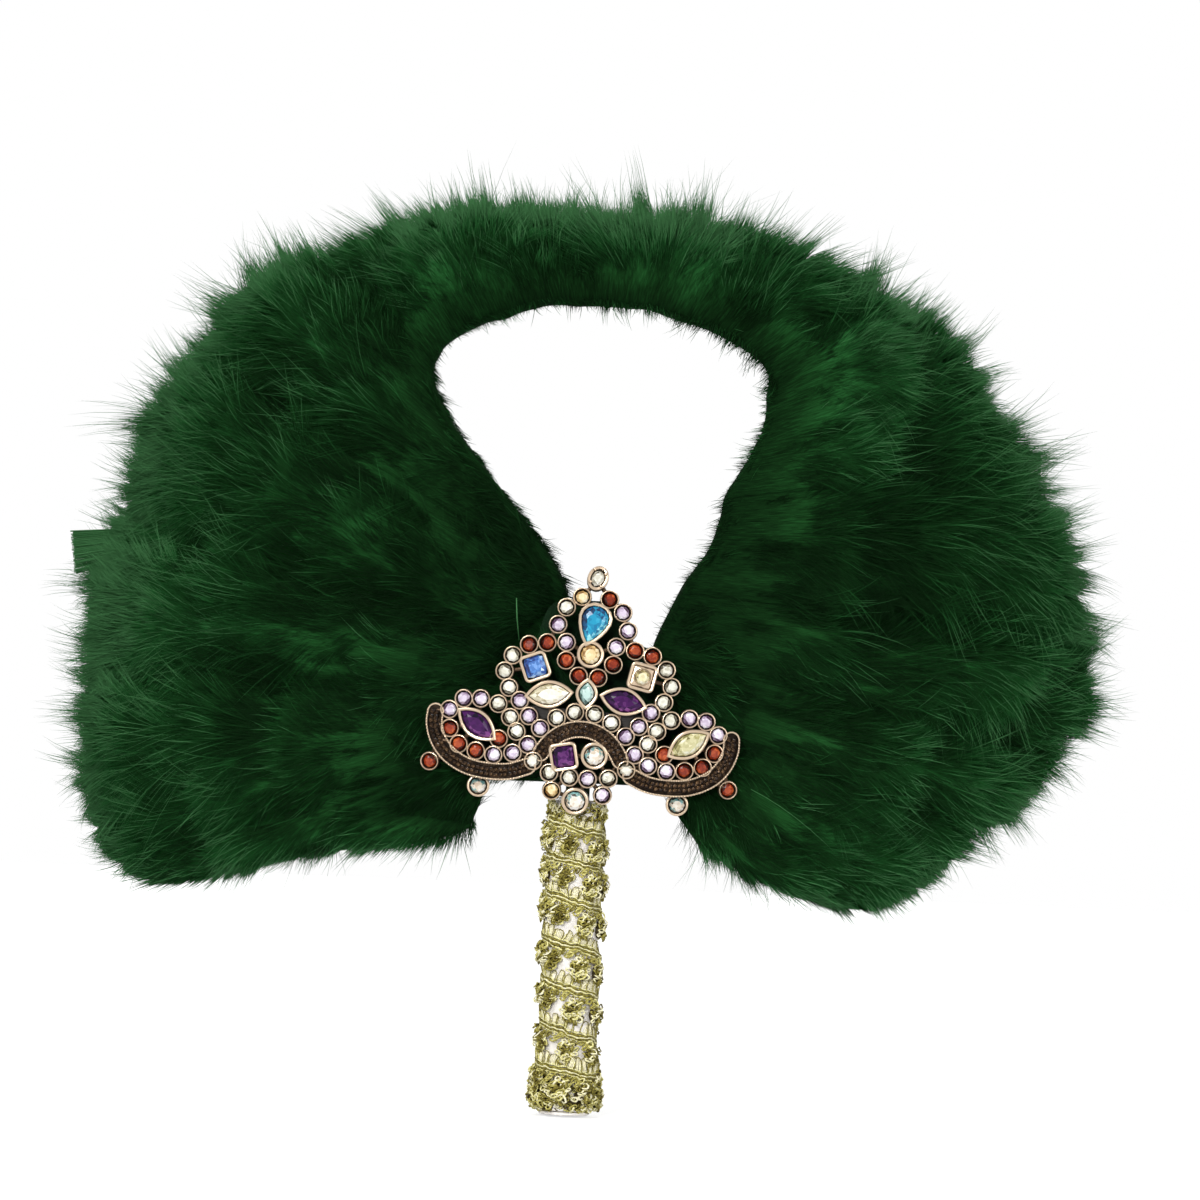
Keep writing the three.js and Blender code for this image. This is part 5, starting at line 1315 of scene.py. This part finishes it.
# Channel rails: a trough along each curve, with beaded walls and a double row of square stones.
ARM = [(0.952, 0), (0.953, -0.078), (0.917, -0.179), (0.84, -0.267), (0.717, -0.328),
       (0.577, -0.346), (0.443, -0.335), (0.331, -0.292)]
HALF_ARCH = [(0.256, -0.2), (0.215, -0.135), (0.154, -0.074), (0.077, -0.035)]
RAIL_HALF, RAIL_WALL, RAIL_HEIGHT, RAIL_FLOOR = 2.9, 0.62, 2.75, 1.3
RAIL_INSIDE = RAIL_HALF - RAIL_WALL
WALL = [  # half width, height, shine
    (RAIL_HALF - 0.25, 0.0, 0.1), (RAIL_HALF, 0.25, 0.2), (RAIL_HALF, RAIL_HEIGHT - 0.3, 0.55),
    (RAIL_HALF - 0.12, RAIL_HEIGHT, 0.85), (RAIL_INSIDE + 0.08, RAIL_HEIGHT, 0.8),
    (RAIL_INSIDE, RAIL_HEIGHT - 0.25, 0.3), (RAIL_INSIDE, RAIL_FLOOR, 0.0)]
BEAD_PITCH, STONE_PITCH, STONE_ASIDE, ASKEW = 0.86, 1.5, 0.8, 0.12
rails = {
    "left": [(-x, y) for x, y in ARM],
    "middle": [(-x, y) for x, y in HALF_ARCH] + [(0, -0.023)] + HALF_ARCH[::-1],
    "right": ARM,
}


def rail_points(shares, count):
    """Evenly spaced points on a smooth curve through a rail's places, and the ways it runs."""
    fine = through_ribs(np.array(shares, float) * HALF_SPAN, np.linspace(0, len(shares) - 1, 400))
    length = run_along(fine)[-1]
    middle = run_along(fine, np.linspace(0, length, count))
    ahead = np.gradient(middle, axis=0)
    return middle, ahead / np.linalg.norm(ahead, axis=1)[:, None], length


def rail_stands(shares, pitch, aside, rise):
    """Places in two rows along a rail."""
    stands = []
    for offset in (-aside, aside):
        middle, ahead, _ = rail_points(shares, int(rail_points(shares, 48)[2] / pitch))
        stands += [seat(x - ay * offset, y + ax * offset, math.atan2(ay, ax), rise)
                   for (x, y), (ax, ay) in zip(middle, ahead)]
    return stands


def band(middle, ahead, half, height):
    """The ring round a band: it begins at the middle of its first round end."""
    aside = np.stack([-ahead[:, 1], ahead[:, 0]], 1)
    angles = np.linspace(0, math.pi / 2, 5)[:-1] + math.pi / 16
    c, s = np.cos(angles), np.sin(angles)

    def quarter(end, onwards, sideways):
        return [middle[end] + half * a * ahead[end] + half * b * aside[end]
                for a, b in zip(onwards, sideways)]

    ring = [*quarter(0, -c, -s), *(middle - half * aside), *quarter(-1, s, -c),
            *quarter(-1, c, s), *(middle + half * aside)[::-1], *quarter(0, -s, c)]
    return [(x, y, height + dome(x, y)) for x, y in ring]


bead = Metalwork()
bead.cup([(0.36, 0.0, 0.35), (0.4, 0.2, 0.75), (0.26, 0.44, 1.0)], 6)
bead_form = bead.object("bead_form", smooth=80)
square_form = cut_stone("square_form", square(0.66, 0.66, 0.15, 1), 8,
                        [(0.8, 0.0), (1.0, 0.7), (0.75, 0.95), (0.4, 1.05)], 6)
bead_stands = []
rail_dice = np.random.default_rng(12)
for side, shares in rails.items():
    middle, ahead, _ = rail_points(shares, 48)
    casting.skin([[Vector(p) * MM for p in band(middle, ahead, half, height)]
                  for half, height, _ in WALL], [s for *_, s in WALL], BROOCH_PLACE, pairs=True)
    bead_stands += rail_stands(shares, BEAD_PITCH, RAIL_HALF - RAIL_WALL / 2, RAIL_HEIGHT - 0.1)
    stands = [stand @ (Matrix.Rotation(ASKEW * rail_dice.standard_normal(), 4, "X")
                       @ Matrix.Rotation(ASKEW * rail_dice.standard_normal(), 4, "Y"))
              for stand in rail_stands(shares, STONE_PITCH, STONE_ASIDE, RAIL_FLOOR + 0.1)]
    row = set_many(side + "_rail_stones", stands, square_form, glass["dark"], 9)
    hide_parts(side + "_channel_stones")
set_many("rail_beads", bead_stands, bead_form, rose_gold)

# The lattice: bars under the rims of settings that stand side by side.
CUP_REACH, BEZEL_REACH, WIDEST_GAP = 3.1, 1.2, 1.5
ties = [(x, y, CUP_REACH) for x, y, _, _ in small_places]
ties += [(x * HALF_SPAN, y * HALF_SPAN, BEZEL_REACH + min(math.hypot(*p) for p in outline))
         for _, _, outline, x, y, _, _ in LARGE_STONES]
ties += [(x * HALF_SPAN, y * HALF_SPAN, RAIL_HALF) for shares in rails.values() for x, y in shares]
for i, (x, y, reach) in enumerate(ties):
    for other_x, other_y, other_reach in ties[i + 1:]:
        apart = math.hypot(x - other_x, y - other_y)
        if not 0.5 < apart < reach + other_reach + WIDEST_GAP:
            continue
        stand = seat((x + other_x) / 2, (y + other_y) / 2, math.atan2(other_y - y, other_x - x))
        casting.skin([[(end, 0.75 * math.cos(a), 0.85 - 0.7 * math.sin(a)) for a in around(8)]
                      for end in (apart / 2 - 0.6, -apart / 2 + 0.6)], [0.25, 0.25], stand)

# Headed studs behind the rails carry the hanging drops, and two pads carry the pin bar.
STUD_X, STUD_Y, PAD_X, PAD_Y, PAD_FOOT = 33.28, -18.5, 10.0, 3.0, 6.9
STUD = [(0.55, -2.95, 0.6), (0.75, -2.85, 0.8), (0.75, -2.65, 0.7), (0.5, -2.55, 0.3),
        (0.5, 0.6, 0.2)]
PAD = square(2, 1.5, 0.3, 2)
for x in (-STUD_X, STUD_X):
    casting.cup(STUD, 16, on_brooch(Matrix.Translation((x, STUD_Y, dome(x, STUD_Y)))))
for place in (-PAD_X, PAD_X):
    casting.skin([[(x, y, h) for x, y in PAD] for h in (PAD_FOOT, dome(PAD_X, PAD_Y) + 1.0)],
                 [0.4, 0.4], on_brooch(Matrix.Translation((place, PAD_Y, 0))))
casting = casting.object("brooch_casting_work")
rose_gold.on(casting)
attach(casting, "fan")
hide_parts("brooch_casting")

# Hanging drops: a round cup with a wire eye soldered on top, which hangs on its stud behind the
# rail, and an iridescent stone set in it.
DROP_RADIUS, DROP_EYE_RADIUS, DROP_EYE_WIRE, DROP_EYE_RISE = 3.8, 1.3, 0.35, 0.9
DROP = [  # radius, height, shine
    (3.4, -1.1, 0.3), (3.7, -0.95, 0.5), (3.8, -0.6, 0.5), (3.8, 0.6, 0.6), (3.72, 0.95, 0.8),
    (3.45, 1.1, 0.95), (3.15, 1.08, 0.85), (2.95, 0.9, 0.4), (2.9, -0.5, 0.0)]
for side in ("left", "right"):
    low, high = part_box(side + "_drop_cup")
    middle = Vector(((low[0] + high[0]) / 2, (low[1] + high[1]) / 2, low[2] + DROP_RADIUS * MM))
    stand = Matrix.Translation(middle) @ Matrix.Rotation(math.pi / 2, 4, "X") @ Matrix.Scale(MM, 4)
    drop = Metalwork()
    drop.cup(DROP, 28, stand)
    eye = []
    for turn in around(20):
        reaches = [(DROP_EYE_RADIUS + DROP_EYE_WIRE * math.cos(a), a) for a in around(8)]
        eye.append([(reach * math.cos(turn), DROP_RADIUS + DROP_EYE_RISE + reach * math.sin(turn),
                     -DROP_EYE_WIRE * math.sin(a)) for reach, a in reaches])
    drop.skin(eye, [0.7] * len(eye), stand, closed=True)
    drop = drop.object(side + "_hanging_cup")
    rose_gold.on(drop)
    stone = cut_stone(side + "_hanging_stone", round_outline(5.2), 10, [
        (0.7, -0.3), (1.0, 0.35), (0.8, 1.0), (0.55, 1.4)], 8)
    stone.data.transform(stand)
    glass["iridescent"].on(stone)
    for piece, node, slot in ((drop, "_drop_cup", "rose_gold_metal"),
                              (stone, "_drop_stone", "clear_stone")):
        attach(piece, side + "_drop")
        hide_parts(side + node)

# Pin back: bar, rivet, stem and safety catch in blackened steel, with fine drawing marks. The
# steel is near black partly as its finish and partly as painted shade behind the brooch.
steel = Finish("blackened_steel", (0.03, 0.027, 0.024), 0.45, Metallic=0.4, Specular_IOR_Level=0.3)
drawn = steel.noise(1, 3, steel.spot((120, 2200, 2200)))
steel.colours(drawn, [(0.3, (0.018, 0.016, 0.014)), (0.7, (0.05, 0.045, 0.04))])
steel.set(Roughness=steel.between(drawn, 0.35, 0.55))
steel.on("pin_bar", "pin_rivet", "pin_stem", "catch_rotor")

# The template forms are no longer needed.
for unused in (cup_form, small_form, bead_form, square_form, short_barb, long_barb):
    bpy.data.objects.remove(unused)
